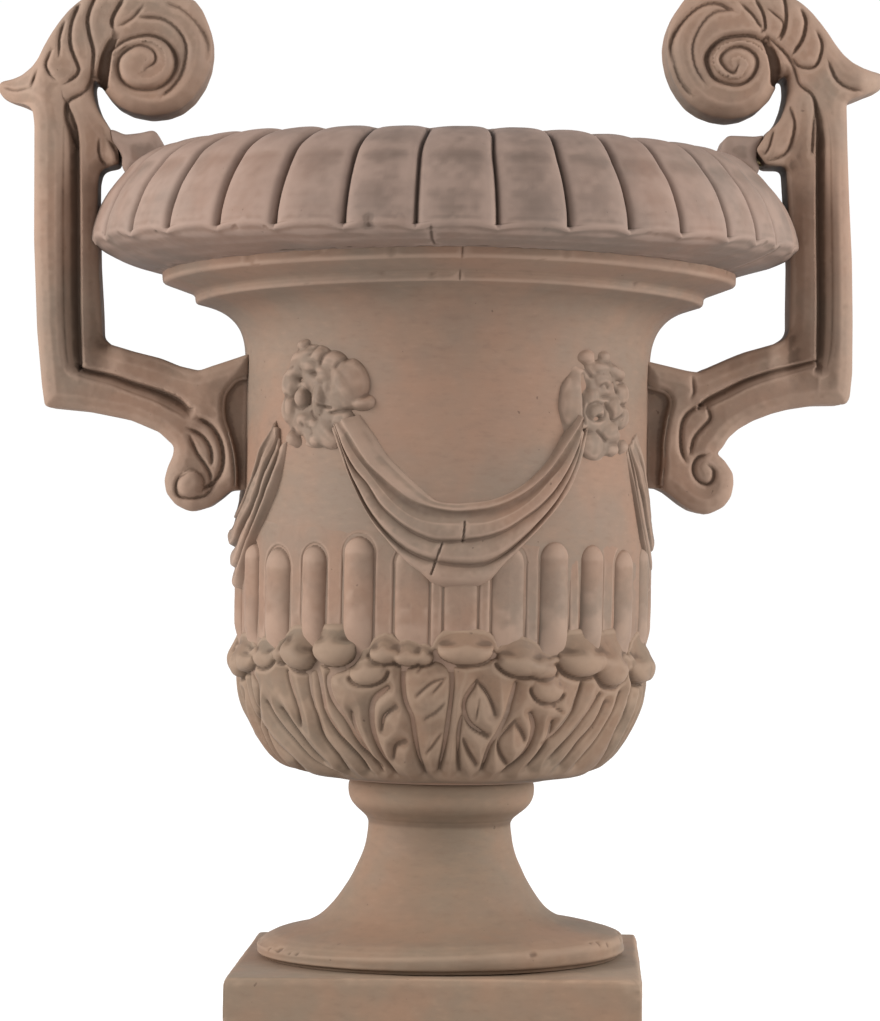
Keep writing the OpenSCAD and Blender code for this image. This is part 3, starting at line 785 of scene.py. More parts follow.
def carved(name, outline, height, wall_rows, pitch, step, seed, wall_shape=None, roll=4.0, lines=()):
    """outline: closed (X, Z) line in mm. height(q, d): half thickness at points q
    that lie d from the outline."""
    edge = even_loop(outline, step)
    for _ in range(2):
        edge = 0.5 * edge + 0.25 * (np.roll(edge, 1, 0) + np.roll(edge, -1, 0))
    area = 0.5 * (edge[:, 0] * np.roll(edge[:, 1], -1) - np.roll(edge[:, 0], -1) * edge[:, 1]).sum()
    if area < 0:
        edge = edge[::-1].copy()
    n = len(edge)
    loop = np.vstack([edge, edge[:1]])
    lo, hi = edge.min(0), edge.max(0)
    rng = np.random.default_rng(seed)
    gx = np.arange(lo[0], hi[0], pitch)
    gz = np.arange(lo[1], hi[1], pitch * 0.866)
    X, Z = np.meshgrid(gx, gz)
    X = X + (np.arange(len(gz)) % 2)[:, None] * pitch * 0.5
    pts = np.stack([X.ravel(), Z.ravel()], 1)
    pts = pts + rng.uniform(-0.12, 0.12, pts.shape) * pitch
    pts = pts[inside(pts, edge)]
    d, _, _ = near_line(pts, loop, 18.0)
    pts, d = pts[d > roll + 0.5 * pitch], d[d > roll + 0.5 * pitch]
    # rows of points along each cut, so that its edges come out clean
    extra = []
    for ln in lines:
        seg = np.linalg.norm(np.diff(ln[:, :2], axis=0), axis=1)
        sl = np.concatenate([[0], np.cumsum(seg)])
        u = np.arange(0, sl[-1], 1.9)
        c = np.stack([np.interp(u, sl, ln[:, k]) for k in range(3)], 1)
        if len(c) < 3:
            continue
        t2 = np.gradient(c[:, :2], axis=0)
        t2 /= np.linalg.norm(t2, axis=1)[:, None] + 1e-9
        n2 = np.stack([-t2[:, 1], t2[:, 0]], 1)
        wide = c[:, 2].mean() > 3.0
        for k in ((0, 0.5, 0.85, 1.1, 1.35) if wide else (0, 0.55, 1.1, 2.0)):
            for sg in ((1,) if k == 0 else (1, -1)):
                extra.append(c[:, :2] + n2 * (sg * k * c[:, 2])[:, None])
        dd, _, _ = near_line(pts, ln[:, :2], 12.0)
        near = dd < max(1.6, float(c[:, 2].mean()) * (1.45 if wide else 2.1))
        pts, d = pts[~near], d[~near]
    if extra:
        ex = np.vstack(extra)
        ex = ex[inside(ex, edge)]
        de, _, _ = near_line(ex, loop, 18.0)
        ok = de > roll * 0.95
        ex, de = ex[ok], de[ok]
        seen, keep = set(), []
        for i, (a, b) in enumerate(ex):
            key = (int(math.floor(a / 0.75)), int(math.floor(b / 0.75)))
            if key in seen:
                continue
            seen.add(key)
            keep.append(i)
        pts = np.vstack([pts, ex[keep]])
        d = np.concatenate([d, de[keep]])
    # rings just inside the outline, for a rounded arris
    tan = np.roll(edge, -1, 0) - np.roll(edge, 1, 0)
    tan /= np.linalg.norm(tan, axis=1)[:, None]
    nrm = np.stack([-tan[:, 1], tan[:, 0]], 1)
    rings = []
    for k in (0.12, 0.38, 0.8):
        r = edge + nrm * roll * k
        dd, _, _ = near_line(r, loop, roll * 2)
        ok = (dd > roll * k * 0.85) & inside(r, edge)
        rings.append((r[ok], dd[ok]))
    allp = [edge] + [r[0] for r in rings] + [pts]
    alld = [np.zeros(n)] + [r[1] for r in rings] + [d]
    q = np.vstack(allp)
    dist = np.concatenate(alld)
    ed = [(i, (i + 1) % n) for i in range(n)]
    res = delaunay_2d_cdt([Vector((float(a), float(b))) for a, b in q], ed, [], 1, 1e-5)
    out_v, faces, orig = res[0], res[2], res[3]
    m = len(out_v)
    src = np.array([o[0] if len(o) else -1 for o in orig])
    V = np.array([(v[0], v[1]) for v in out_v])
    D = np.where(src >= 0, dist[np.clip(src, 0, None)], 0.0)
    tri = np.array([f for f in faces if len(f) == 3], np.int64)
    a, b, c = V[tri[:, 0]], V[tri[:, 1]], V[tri[:, 2]]
    ccw = (b[:, 0] - a[:, 0]) * (c[:, 1] - a[:, 1]) - (b[:, 1] - a[:, 1]) * (c[:, 0] - a[:, 0])
    tri[ccw < 0] = tri[ccw < 0][:, ::-1]
    tri = tri[np.abs(ccw) > 1e-9]
    H = height(V, D)
    e = np.clip(roll - D, 0, roll)
    H = H - (roll - np.sqrt(np.clip(roll ** 2 - e ** 2, 0, None)))
    front = np.stack([V[:, 0], -H, V[:, 1]], 1)
    back = np.stack([V[:, 0], H, V[:, 1]], 1)
    fn = wobble(front, [(50, 0.7), (16, 0.35), (5, 0.16)], seed + 3)
    bn = wobble(back, [(50, 0.7), (16, 0.35), (5, 0.16)], seed + 5)
    inner = smooth01(0, 6, D)
    front[:, 1] += fn * inner
    back[:, 1] += bn * inner
    # where each outline point went
    where = np.full(len(q), -1)
    for i, o in enumerate(orig):
        for k in o:
            where[k] = i
    e_idx = where[:n]
    P = [front, back]
    rows = [e_idx]
    base = 2 * m
    hf = H[e_idx]
    for r in range(1, wall_rows):
        t = r / wall_rows
        y = -hf + 2 * hf * t
        w = edge.copy()
        pt = np.stack([edge[:, 0], y, edge[:, 1]], 1)
        crown = math.sin(math.pi * t)
        move = wobble(pt, [(40, 0.6), (12, 0.35), (5, 0.15)], seed + 11) * min(1.0, 3 * crown) - 0.4 * (1 - crown)
        if wall_shape is not None:
            move = move + wall_shape(pt, nrm, t)
        w = w - nrm * move[:, None]
        P.append(np.stack([w[:, 0], y, w[:, 1]], 1))
        rows.append(base + np.arange(n))
        base += n
    rows.append(e_idx + m)
    P = np.vstack(P)
    j = np.arange(n)
    j2 = (j + 1) % n
    quads = []
    for a, b in zip(rows[:-1], rows[1:]):
        quads.append(np.stack([a[j], a[j2], b[j2], b[j]], 1))
    quads = np.concatenate(quads)
    tris = np.concatenate([tri, tri[:, ::-1] + m])
    # sense of the wall: compare with the front, whose outward side is -Y
    v_t = (np.cross(P[tris[:, 0]], P[tris[:, 1]]) * P[tris[:, 2]]).sum()
    A, B, C, DD = (P[quads[:, k]] for k in range(4))
    v_q = (np.cross(A, B) * C).sum() + (np.cross(A, C) * DD).sum()
    # front triangles run counter-clockwise in X, Z, which faces -Y
    mid = P[quads[0]].mean(0)
    qa = P[quads[:, 1]] - P[quads[:, 0]]
    qb = P[quads[:, 3]] - P[quads[:, 0]]
    nn = np.cross(qa, qb)
    outw = np.stack([-nrm[:, 0], np.zeros(n), -nrm[:, 1]], 1)
    if (nn[:n] * outw).sum() < 0:
        quads = quads[:, ::-1]
    return P, quads, tris


def relief(q, base, cuts):
    """base minus the cuts. A cut is (kind, points in X, Z with half width and depth)."""
    h = base.copy()
    for kind, line in cuts:
        reach = 26.0 if kind in ("ramp_l", "ramp_r") else 16.0
        d, side, ex = near_line(q, line, reach)
        hw, dep = ex[:, 0] + 1e-6, ex[:, 1]
        hit = d < reach - 1e-6
        c = np.zeros(len(q))
        if kind in ("slant_l", "slant_r"):  # falls slowly to one side, steep there
            t = np.where(side > 0, 1.0, -1.0) * (1 if kind == "slant_l" else -1) * d / hw
            c = dep * (0.16 * smooth01(-1.35, -0.95, t) + 0.84 * smooth01(-0.9, 0.85, t)) * (1 - smooth01(0.86, 1.22, t))
        elif kind == "u":      # channel with a rounded floor
            c = dep * (1 - smooth01(0.55, 1.25, d / hw))
        elif kind == "v":      # incised line with soft shoulders
            c = dep * (0.66 * np.exp(-(d / (0.82 * hw)) ** 2) + 0.34 * np.exp(-d / (3.2 * hw)))
        elif kind in ("ramp_l", "ramp_r"):  # incised line with a long slope on one side
            s = side > 0 if kind == "ramp_l" else side < 0
            c = np.where(s, dep * (0.5 * np.exp(-(d / (5.0 * hw)) ** 1.4) + 0.5 * np.exp(-(d / (0.9 * hw)) ** 1.6)), dep * np.exp(-(d / hw) ** 1.6))
        fade = 1 - smooth01(reach * 0.7, reach, d)
        h = h - np.where(hit, c * fade, 0)
    return h


def cut(kind, pts, y=-45.0, hw=2.0, dep=5.0, ends=True):
    """Picture points (x, y[, half width, depth]) as a cut on the handle's front."""
    p = [(*a, hw, dep) if len(a) == 2 else a for a in pts]
    p = np.array(p, float)
    xz = on_plane(p[:, :2], y)
    line = np.hstack([xz, p[:, 2:]])
    line = spline(line, 2.5)
    if ends:
        s = np.concatenate([[0], np.cumsum(np.linalg.norm(np.diff(line[:, :2], axis=0), axis=1))])
        f = np.minimum(smooth01(-2, 9, s), smooth01(-2, 9, s[-1] - s))
        line[:, 3] = line[:, 3] * (0.25 + 0.75 * f)
    return kind, line


def flagged(pts):
    """Outline points (x, y, 'f' or 'b'): seen at the front or the back arris."""
    p = np.array([(a, b) for a, b, _ in pts], float)
    y = np.array([-38.5 if c == "f" else 39.0 for _, _, c in pts])
    return on_plane(p, y)


LEFT_EDGE = [(99.5, 87, "b"), (105.5, 92.5, "b"), (112.6, 103, "b"), (121.8, 112.5, "b"), (135.5, 119.3, "b"), (154, 122.8, "b"), (170.5, 121, "b"), (184, 115.8, "b"), (196.5, 105.6, "b"), (206.5, 91, "b"), (212.8, 75, "b"), (215, 60, "b"), (214.6, 46.4, "b"), (211.8, 33.2, "b"), (206.4, 20.5, "b"), (198, 9.5, "b"), (185, -1, "f"),
             (170, -9, "f"), (145, -14, "f"), (118, -13, "f"), (97, -9, "f"), (80, 0, "f"), (68.5, 10, "f"), (59, 21.6, "f"), (51, 33.2, "f"), (43.5, 46.4, "f"), (38, 57.2, "f"), (31.5, 65.5, "f"), (20, 73, "f"), (8.5, 76.2, "f"), (-1.5, 77.4, "f"), (-5, 80.5, "f"), (-5.6, 85, "f"), (-3, 90, "f"), (1, 95.2, "f"), (9, 99.5, "f"), (20.6, 102.2, "f"), (28.4, 105.5, "f"), (32.6, 110.5, "f"), (34.2, 124.4, "f"), (33.8, 240, "f"), (36.8, 330, "f"), (41.6, 385, "f"), (44.4, 405.5, "f"), (47, 407, "f"),
             (92, 412.5, "b"), (134, 421, "b"), (163, 433, "b"), (178, 447, "b"), (177, 456, "b"), (167.5, 467, "f"), (164, 480, "f"), (166, 493, "f"), (175, 504.5, "f"), (186, 510.3, "f"), (197, 511.3, "b"), (213, 506.5, "b"), (224, 498.5, "b"), (233, 490.5, "b"), (242, 489.5, "b"), (252, 492, "b"),
             (253, 356, "b"), (235, 362, "b"), (215, 368.5, "b"), (199, 370.5, "f"), (180, 366, "f"), (160, 357.8, "f"), (134, 351.3, "f"), (114, 346.5, "b"), (107, 340, "b"), (106.2, 320, "b"), (103.4, 270, "b"), (102.4, 212, "b"), (102.6, 187.4, "b"), (104.8, 177.5, "b"), (108.5, 174, "b"), (123.5, 169.5, "b"), (122.7, 154.2, "b"), (114.4, 142.6, "f"), (111, 131, "f"), (103.6, 117.7, "b"), (99.5, 106, "b"), (97.8, 93, "b")]
RIGHT_EDGE = [(776.8, 83.7, "b"), (771.5, 87, "b"), (767.5, 97.2, "b"), (761.5, 108.5, "b"), (751.8, 117.5, "b"), (737.5, 124.2, "b"), (723, 126.4, "b"), (708.5, 124.2, "b"), (695.3, 119.2, "b"), (683.8, 111.3, "b"), (675.3, 100.8, "b"), (668.8, 90, "b"), (664, 77.5, "b"), (661.4, 64, "b"), (661, 51.4, "b"), (663.2, 38.1, "b"), (667.6, 26, "b"), (674.2, 14.8, "b"), (681.5, 5.4, "b"), (690.8, -2, "f"), (705, -9, "f"), (730, -13, "f"), (758, -12, "f"), (782, -7, "f"), (797.5, 0, "f"), (804.5, 5.2, "f"), (812.6, 12.7, "f"), (820.6, 22.6, "f"), (828.2, 32.6, "f"), (835.6, 44.2, "f"), (843.6, 54.6, "f"), (853.2, 62.8, "f"), (863.2, 67.8, "f"), (873.2, 70.3, "f"), (883, 71.4, "f"), (887.4, 75, "f"), (888, 80, "f"), (885, 85.5, "f"), (880, 89.5, "f"), (871, 92.2, "f"), (860, 96.6, "f"), (851, 99.6, "f"), (846.8, 103, "f"), (847, 116, "f"), (847.8, 149, "f"), (849.4, 199, "f"), (852.2, 260, "f"), (853, 320, "f"), (852.6, 373, "f"), (850, 398, "f"), (846.3, 404.5, "f"),
              (808.6, 406.6, "b"), (781.8, 410.7, "b"), (764, 415.2, "b"), (745, 422.4, "b"), (731, 430.4, "b"), (721, 439.3, "b"), (716, 448.2, "b"), (717, 453.6, "f"), (725, 460.7, "f"), (733.2, 473.2, "f"), (734, 483.9, "f"), (731.3, 497, "f"), (724, 507, "f"), (713, 512.5, "f"), (699.6, 514.3, "b"), (686, 510.7, "b"), (675.6, 504.2, "b"), (668, 498, "b"), (659.5, 491.5, "b"), (652, 488.3, "b"), (644.3, 487.5, "b"), (633, 490, "b"),
              (640, 361, "b"), (649.6, 363.3, "b"), (665.7, 369.5, "b"), (680, 373, "b"), (691.6, 374.8, "b"), (701.4, 371, "f"), (715.7, 364.7, "f"), (730, 358.2, "f"), (744.3, 352.2, "f"), (758.6, 349, "b"), (771, 345.3, "b"), (779.5, 340, "b"), (782.6, 333.5, "b"), (783.6, 270, "b"), (781, 210.6, "b"), (779, 175.3, "b"), (776, 172.4, "b"), (759.4, 171.8, "b"), (756, 150, "f"), (761, 137.6, "b"), (766, 134.3, "b"), (772.7, 126, "b"), (777.6, 112.8, "b"), (780, 99.5, "b"), (779.3, 86.2, "b")]

LEFT_CUTS = [
    cut("slant_l", [(62, 97, 1.5, 1), (65.5, 108, 3.5, 6), (68.8, 120, 5, 12), (70.8, 138, 6.4, 18), (71, 200, 7, 21), (71.5, 300, 7, 21), (73, 345, 6.6, 19), (75, 364, 6, 15)], ends=False),
    cut("slant_l", [(78, 370, 4, 12), (86, 373, 4, 13), (111, 379, 4.4, 14), (132, 386.5, 4.8, 15), (157, 395, 5.4, 16), (176, 404, 6, 16), (187, 412, 4.4, 10)], ends=False),
    cut("v", [(98, -10), (88, 15), (89, 33), (93, 50), (92.5, 66), (90, 81), (81, 93), (69, 100), (66, 108), (66.5, 119), (71, 131), (76.5, 146)], hw=2.3, dep=7.5),
    cut("v", [(80, 1), (73.5, 16), (70, 32), (70.5, 46), (75.5, 60), (78.5, 69), (77, 74), (65, 83.5)], hw=2.2, dep=7),
    cut("v", [(64.5, 21), (59.6, 36.5), (58.7, 55)], hw=1.8, dep=5),
    cut("v", [(51.5, 50), (46, 63.5), (49, 73), (53.5, 78)], hw=1.8, dep=5),
    cut("v", [(36, 70), (33.5, 78), (30, 86)], hw=1.8, dep=6),
    cut("v", [(0, 83.5), (14, 88), (29, 86.5)], hw=1.8, dep=3.5),
    cut("v", [(124, -2), (116, 10), (111.5, 21), (113.5, 30)], hw=2.4, dep=8),
    cut("v", [(143, 6), (131, 19), (118, 26)], hw=2.2, dep=3.5),
    cut("u", [(114, 38, 3.5, 5), (109, 47, 4.5, 10), (105, 60, 5.2, 15), (103, 72, 5.6, 18), (101.5, 84, 5, 22)], ends=False),
    cut("ramp_r", [(148, 67.3, 1.6, 2.5), (154.8, 61.5, 1.6, 5), (153.8, 52, 1.8, 6), (144, 46, 2, 6.5), (132.7, 47, 2, 7), (121, 55.8, 2, 7), (118, 67.3, 2, 7), (123, 80.8, 2, 7), (136.5, 88.5, 2, 7.5), (153.8, 88.5, 2.2, 8), (167, 80.8, 2.2, 8.5), (175, 67.3, 2.4, 9.5), (174, 53.8, 2.4, 10), (165.4, 41.3, 2.2, 9), (152, 35.6, 2.2, 8.5), (138.5, 36.5, 2.2, 8), (125, 40.4, 2.2, 8), (114, 48, 2.2, 8)], ends=False),
    cut("v", [(140, 17.3), (159.6, 18.3), (173, 25), (182.7, 36.5), (186.5, 50), (182.7, 71), (173, 86.5), (161.5, 96)], hw=2.2, dep=4.2),
    cut("v", [(163.5, 2), (184.6, 11.5), (200, 29), (207.5, 46), (205.8, 63.5)], hw=3.0, dep=2.6),
    cut("ramp_l", [(107, 139, 1.6, 4), (112, 145, 1.8, 8), (116, 154, 1.8, 9), (117, 166, 1.8, 9)]),
    cut("v", [(98, 139), (97.5, 150), (101, 160), (109, 166.5)], hw=1.6, dep=5),
    cut("v", [(198, 418), (211, 426), (219.6, 439), (223, 455), (221.4, 469.6), (214, 482), (202, 489.5)], hw=2.4, dep=8.5),
    cut("v", [(189, 428.6), (202, 435.7), (210.2, 448), (212, 464)], hw=2.0, dep=6.5),
    cut("v", [(190, 437), (196.4, 452), (204, 463), (210, 474), (210.7, 484)], hw=1.9, dep=6),
    cut("v", [(188, 472.5), (179.5, 478), (176, 487), (179, 496), (192, 498), (205, 495), (214, 485)], hw=2.0, dep=5.5),
]
LEFT_PAD = [(262, 366), (252, 376.5), (238, 379), (229, 387.5), (223.6, 398), (223.6, 418), (229.5, 436), (234, 455), (235.7, 479), (233, 502), (262, 505)]

RIGHT_CUTS = [
    cut("slant_r", [(816, 98, 1.5, 1), (819.5, 110, 3.5, 7), (822.5, 125, 5, 13), (824, 150, 6, 18), (824.6, 220, 6.4, 20), (825.5, 300, 6.4, 19), (824.5, 345, 6, 16), (822, 368, 4.4, 9)], ends=False),
    cut("slant_r", [(815.7, 363, 3, 6), (790.7, 369.6, 3.6, 9), (769, 375, 3.8, 11), (746, 383, 4, 13), (728, 392, 4.2, 13), (710, 401, 4, 12), (702, 406.5, 3.4, 10)], ends=False),
    cut("v", [(783, -10), (786.5, 11.5), (785.6, 27), (780.8, 40.4)], hw=2.2, dep=7),
    cut("v", [(741, 4), (753.8, 16), (762, 29.5)], hw=2.0, dep=5),
    cut("v", [(754.8, -2), (763.5, 13.5), (765.4, 29), (761.5, 32)], hw=2.0, dep=6),
    cut("v", [(801, 9), (805.8, 21), (802.9, 38.5), (793, 54)], hw=2.3, dep=7.5),
    cut("v", [(817, 32), (822, 44), (820, 57.7), (813.5, 67.3), (800, 66.3), (792, 57)], hw=2.0, dep=6),
    cut("v", [(768, 9), (783, 22), (781, 34), (775.5, 40)], hw=1.7, dep=3.5),
    cut("v", [(829, 62), (836.5, 79), (848, 87.5), (862, 90.4)], hw=2.3, dep=6),
    cut("v", [(765.4, 34.6), (784.6, 52), (796, 71), (800.5, 84.6), (812.5, 95), (815.8, 109.6), (814, 125), (813.5, 154)], hw=2.2, dep=6),
    cut("v", [(790.6, 107), (795, 122), (792, 141), (784.6, 153.5), (768, 161)], hw=2.0, dep=5.5),
    cut("v", [(775, 128), (770, 146), (764, 156)], hw=1.8, dep=4.5),
    cut("u", [(766, 40, 3.5, 5), (770.5, 50, 4.5, 9), (775, 64, 5.2, 14), (776.5, 80, 5.2, 18)], ends=False),
    cut("ramp_r", [(737.5, 67.3, 1.6, 2.5), (734.6, 72.7, 1.6, 5), (727, 70, 1.8, 6), (720, 59.6, 2, 6.5), (727, 50, 2, 6.5), (740.4, 47, 2, 7), (753.8, 52.9, 2, 7), (757.7, 63.5, 2, 7), (752, 77, 2, 7.5), (740.4, 84.6, 2, 7.5), (727, 83.6, 2.2, 8), (713.5, 77, 2.2, 8.5), (706.7, 61.5, 2.4, 9.5), (709.6, 50, 2.4, 10), (721, 39.4, 2.2, 9), (736.5, 36, 2.2, 8.5), (753.8, 36.2, 2.2, 8), (765.4, 43, 2.2, 8)], ends=False),
    cut("v", [(734.6, 11.5), (715, 3.5), (695, 10), (678, 30), (672, 46), (676, 66), (683, 83), (694, 96)], hw=2.4, dep=5),
    cut("v", [(731, 10), (712, 14), (697.5, 32), (692.5, 50), (696.5, 69), (706, 84)], hw=2.4, dep=3),
    cut("v", [(701.4, 404.5), (690.7, 410.7), (683.6, 419.6), (681, 434), (681.8, 450), (685.4, 460)], hw=2.1, dep=7),
    cut("v", [(706.8, 406), (710.4, 418), (701.4, 428.6), (694, 439), (690.7, 454)], hw=2.0, dep=6),
    cut("v", [(692.5, 377), (694, 391), (691.6, 397)], hw=1.8, dep=4),
    cut("v", [(707, 454.5), (697, 458.5), (693.4, 469.6), (697.9, 480), (706.8, 484.4), (713, 480), (714, 471), (710, 466.5)], hw=1.9, dep=6.5),
    cut("v", [(757.6, 142), (755, 152), (756, 166)], hw=1.6, dep=3.5),
]
RIGHT_PAD = [(636, 372), (646, 385.7), (656.8, 389), (667, 393), (671.5, 402), (667.5, 419.6), (664, 443), (664, 464), (662, 480), (664, 500), (636, 505)]


def make_handle(side):
    right = side == "right"
    outline = flagged(RIGHT_EDGE if right else LEFT_EDGE)
    cuts = RIGHT_CUTS if right else LEFT_CUTS
    pad = on_plane(RIGHT_PAD if right else LEFT_PAD, -45.0)
    # the pad runs on into the wall of the bowl
    sgn = 1.0 if right else -1.0
    a = np.abs(outline[:, 0])
    outline[:, 0] = np.where(a < 197, sgn * 184.5, outline[:, 0])
    vol = on_plane([(733, 64) if right else (147, 66)], -45.0)[0]
    eye = on_plane([(706, 470) if right else (190, 484)], -45.0)[0]
    pad_line = np.hstack([spline(pad[1:-1], 2.5), np.zeros((1, 1)).repeat(len(spline(pad[1:-1], 2.5)), 0)])

    main = cuts[0][1]
    arm = cuts[1][1]

    def height(q, d):
        h = np.full(len(q), 45.0)
        x = np.abs(q[:, 0])
        # ribs and bands slope away to both sides
        h -= 6.0 * (1 - np.clip(d / 13.0, 0, 1)) ** 1.4
        # bar and arm: the rib inside the channel lies deeper and slopes inwards
        gx = np.interp(q[:, 1], main[::-1, 1] if main[0, 1] > main[-1, 1] else main[:, 1], np.abs(main[::-1, 0] if main[0, 1] > main[-1, 1] else main[:, 0]))
        bar = smooth01(872, 820, q[:, 1]) * smooth01(600, 650, q[:, 1]) * smooth01(300, 330, x)
        inner = np.clip((gx - x) / 30.0, 0, 1)
        h -= bar * (inner * 12.0 + 3.0 * smooth01(0, 6, gx - x))
        outer = smooth01(gx + 15, gx + 5, x) * smooth01(gx - 3, gx, x)
        h -= bar * outer * 3.0
        order = np.argsort(np.abs(arm[:, 0]))
        gz = np.interp(x, np.abs(arm[order, 0]), arm[order, 1])
        on_arm = smooth01(356, 316, x) * smooth01(222, 272, x) * smooth01(556, 572, q[:, 1]) * smooth01(690, 640, q[:, 1])
        above = smooth01(2, 7, q[:, 1] - gz)
        h -= on_arm * above * (2.0 + 7.0 * np.clip((q[:, 1] - gz) / 30.0, 0, 1))
        # the spur thins out to its tip, and the volute's edge is turned over
        spur = smooth01(378, 424, x) * smooth01(858, 872, q[:, 1]) * smooth01(925, 914, q[:, 1])
        h -= spur * 33.0
        rv = np.hypot(q[:, 0] - vol[0], q[:, 1] - vol[1])
        on_vol = smooth01(66, 58, rv)
        h -= on_vol * 5.5 * (1 - np.clip(d / 11.0, 0, 1)) ** 1.2
        h += 3.0 * smooth01(30, 12, rv)
        re = np.hypot(q[:, 0] - eye[0], q[:, 1] - eye[1])
        if not right:
            h += 6.0 * np.sqrt(np.clip(1 - (re / 12.5) ** 2, 0, 1))
        h = relief(q, h, cuts)
        dp, _, _ = near_line(q, pad_line, 14.0)
        isin = inside(q, pad)
        low = np.where(isin, smooth01(-0.5, 3.0, dp), 0)
        h = h * (1 - low) + (33.0 - 1.2 * (1 - np.clip(d / 10, 0, 1))) * low
        h -= np.where(isin, 0, 4.0 * np.exp(-(dp / 3.0) ** 2))
        return np.clip(h, 5.0, 50.0)

    def wall_shape(pt, nrm, t):
        # leaf flutes run over the back of the sheath and the spur
        x, z = np.abs(pt[:, 0]), pt[:, 2]
        out = -(nrm[:, 0] * sgn)
        w = smooth01(0.1, 0.6, out) * smooth01(862, 900, z) * smooth01(300, 335, x)
        w = w + smooth01(940, 962, z) * smooth01(355, 300, x) * smooth01(225, 250, x)
        flute = 0.5 - 0.5 * math.cos(2 * math.pi * 3 * t)
        cut_in = -3.6 * (1 - flute) ** 3 * (1 if 0.06 < t < 0.94 else 0)
        return np.clip(w, 0, 1) * cut_in

    P, quads, tris = carved("handle_" + side, outline, height, 18, 1.7, 2.2, 200 + (7 if right else 0), wall_shape, lines=[c[1] for c in cuts] + [np.column_stack([pad_line[:, :2], np.full(len(pad_line), 2.0)])])
    ob = build("handle_%s_scroll" % side, P, quads, tris)
    place(ob, "urn", "handle", ("handle_" + side,))


LUG_LEFT = [(111, 132), (116, 133), (126, 137.6), (141, 136), (154, 133), (158, 135), (164, 146), (172, 160), (128, 178), (123, 169), (123.5, 159), (119, 151), (113, 143)]
LUG_RIGHT = [(762, 138), (753, 139.6), (740, 139), (726, 138.5), (722.5, 141), (719, 151), (714, 160), (752, 182), (757.6, 171), (753.6, 163), (754, 154), (758, 146)]


def make_lugs():
    for side, pts in (("left", LUG_LEFT), ("right", LUG_RIGHT)):
        out = on_plane(pts, 0.0)
        out[:, 0] *= 0.998

        def height(q, d):
            return 35.0 - 3.0 * (1 - np.clip(d / 9.0, 0, 1)) ** 1.5 + 0 * q[:, 0]

        P, quads, tris = carved("lug", out, height, 12, 2.2, 2.2, 301 if side == "left" else 303, roll=3.0)
        ob = build("rim_lug_" + side, P, quads, tris)
        place(ob, "urn", "rim")


# ---------------------------------------------------------------------------
# Applied ornament on the bowl
# ---------------------------------------------------------------------------
def wall_r(z):
    p = np.array(WALL)
    return np.interp(np.asarray(z, float), p[:, 1], p[:, 0])


# The flowers, traced where they are in the picture: (x, y, half width, half height,
# turn in degrees, height in mm) for petals and tabs, then hollows and strokes.
FLOWER_LEFT = {
    "at": (260, 330, 8.0), "middle": (319, 397),
    "petals": [(410, 530, 280, 410, 0, 4.6), (660, 430, 170, 210, 0, 12.5), (655, 450, 60, 165, -28, 14.5), (790, 585, 85, 42, -12, 10), (320, 230, 120, 80, -20, 9.5), (440, 200, 60, 62, 0, 9), (570, 250, 100, 80, 20, 10), (200, 430, 80, 130, 0, 8.5), (190, 640, 72, 112, 0, 8.5), (250, 330, 70, 60, 0, 10.5), (380, 290, 70, 52, 0, 10.5), (500, 350, 72, 72, 0, 12), (460, 560, 52, 132, 0, 12.5), (225, 600, 38, 92, 0, 10.5), (340, 720, 64, 62, 0, 11), (520, 830, 100, 132, -40, 11.5), (230, 870, 64, 62, 0, 11), (430, 880, 52, 52, 0, 9), (640, 730, 80, 95, 10, 9), (330, 445, 60, 45, 0, 9), (420, 745, 50, 45, 0, 9.5), (310, 120, 46, 42, 0, 7)],
    "hollows": [(290, 400, 42, 60, 0, 6.5), (430, 350, 42, 24, 0, 5), (380, 550, 32, 92, 0, 7), (300, 870, 30, 40, 0, 6), (605, 795, 32, 45, 0, 6), (335, 755, 18, 18, 0, 5), (560, 440, 24, 90, 12, 4), (250, 500, 26, 50, 0, 4.5)],
    "button": (315, 540, 48, 80, 0, 13.5),
    "strokes": [[(400, 650), (420, 690), (445, 712)], [(230, 790), (280, 850), (330, 890)], [(400, 200), (430, 140)], [(540, 170), (500, 215), (480, 270)], [(480, 600), (520, 615), (560, 620)], [(610, 300), (640, 250), (700, 230)], [(560, 660), (640, 650), (720, 640)], [(130, 520), (190, 525), (240, 540)], [(255, 300), (200, 310), (150, 340)]],
}
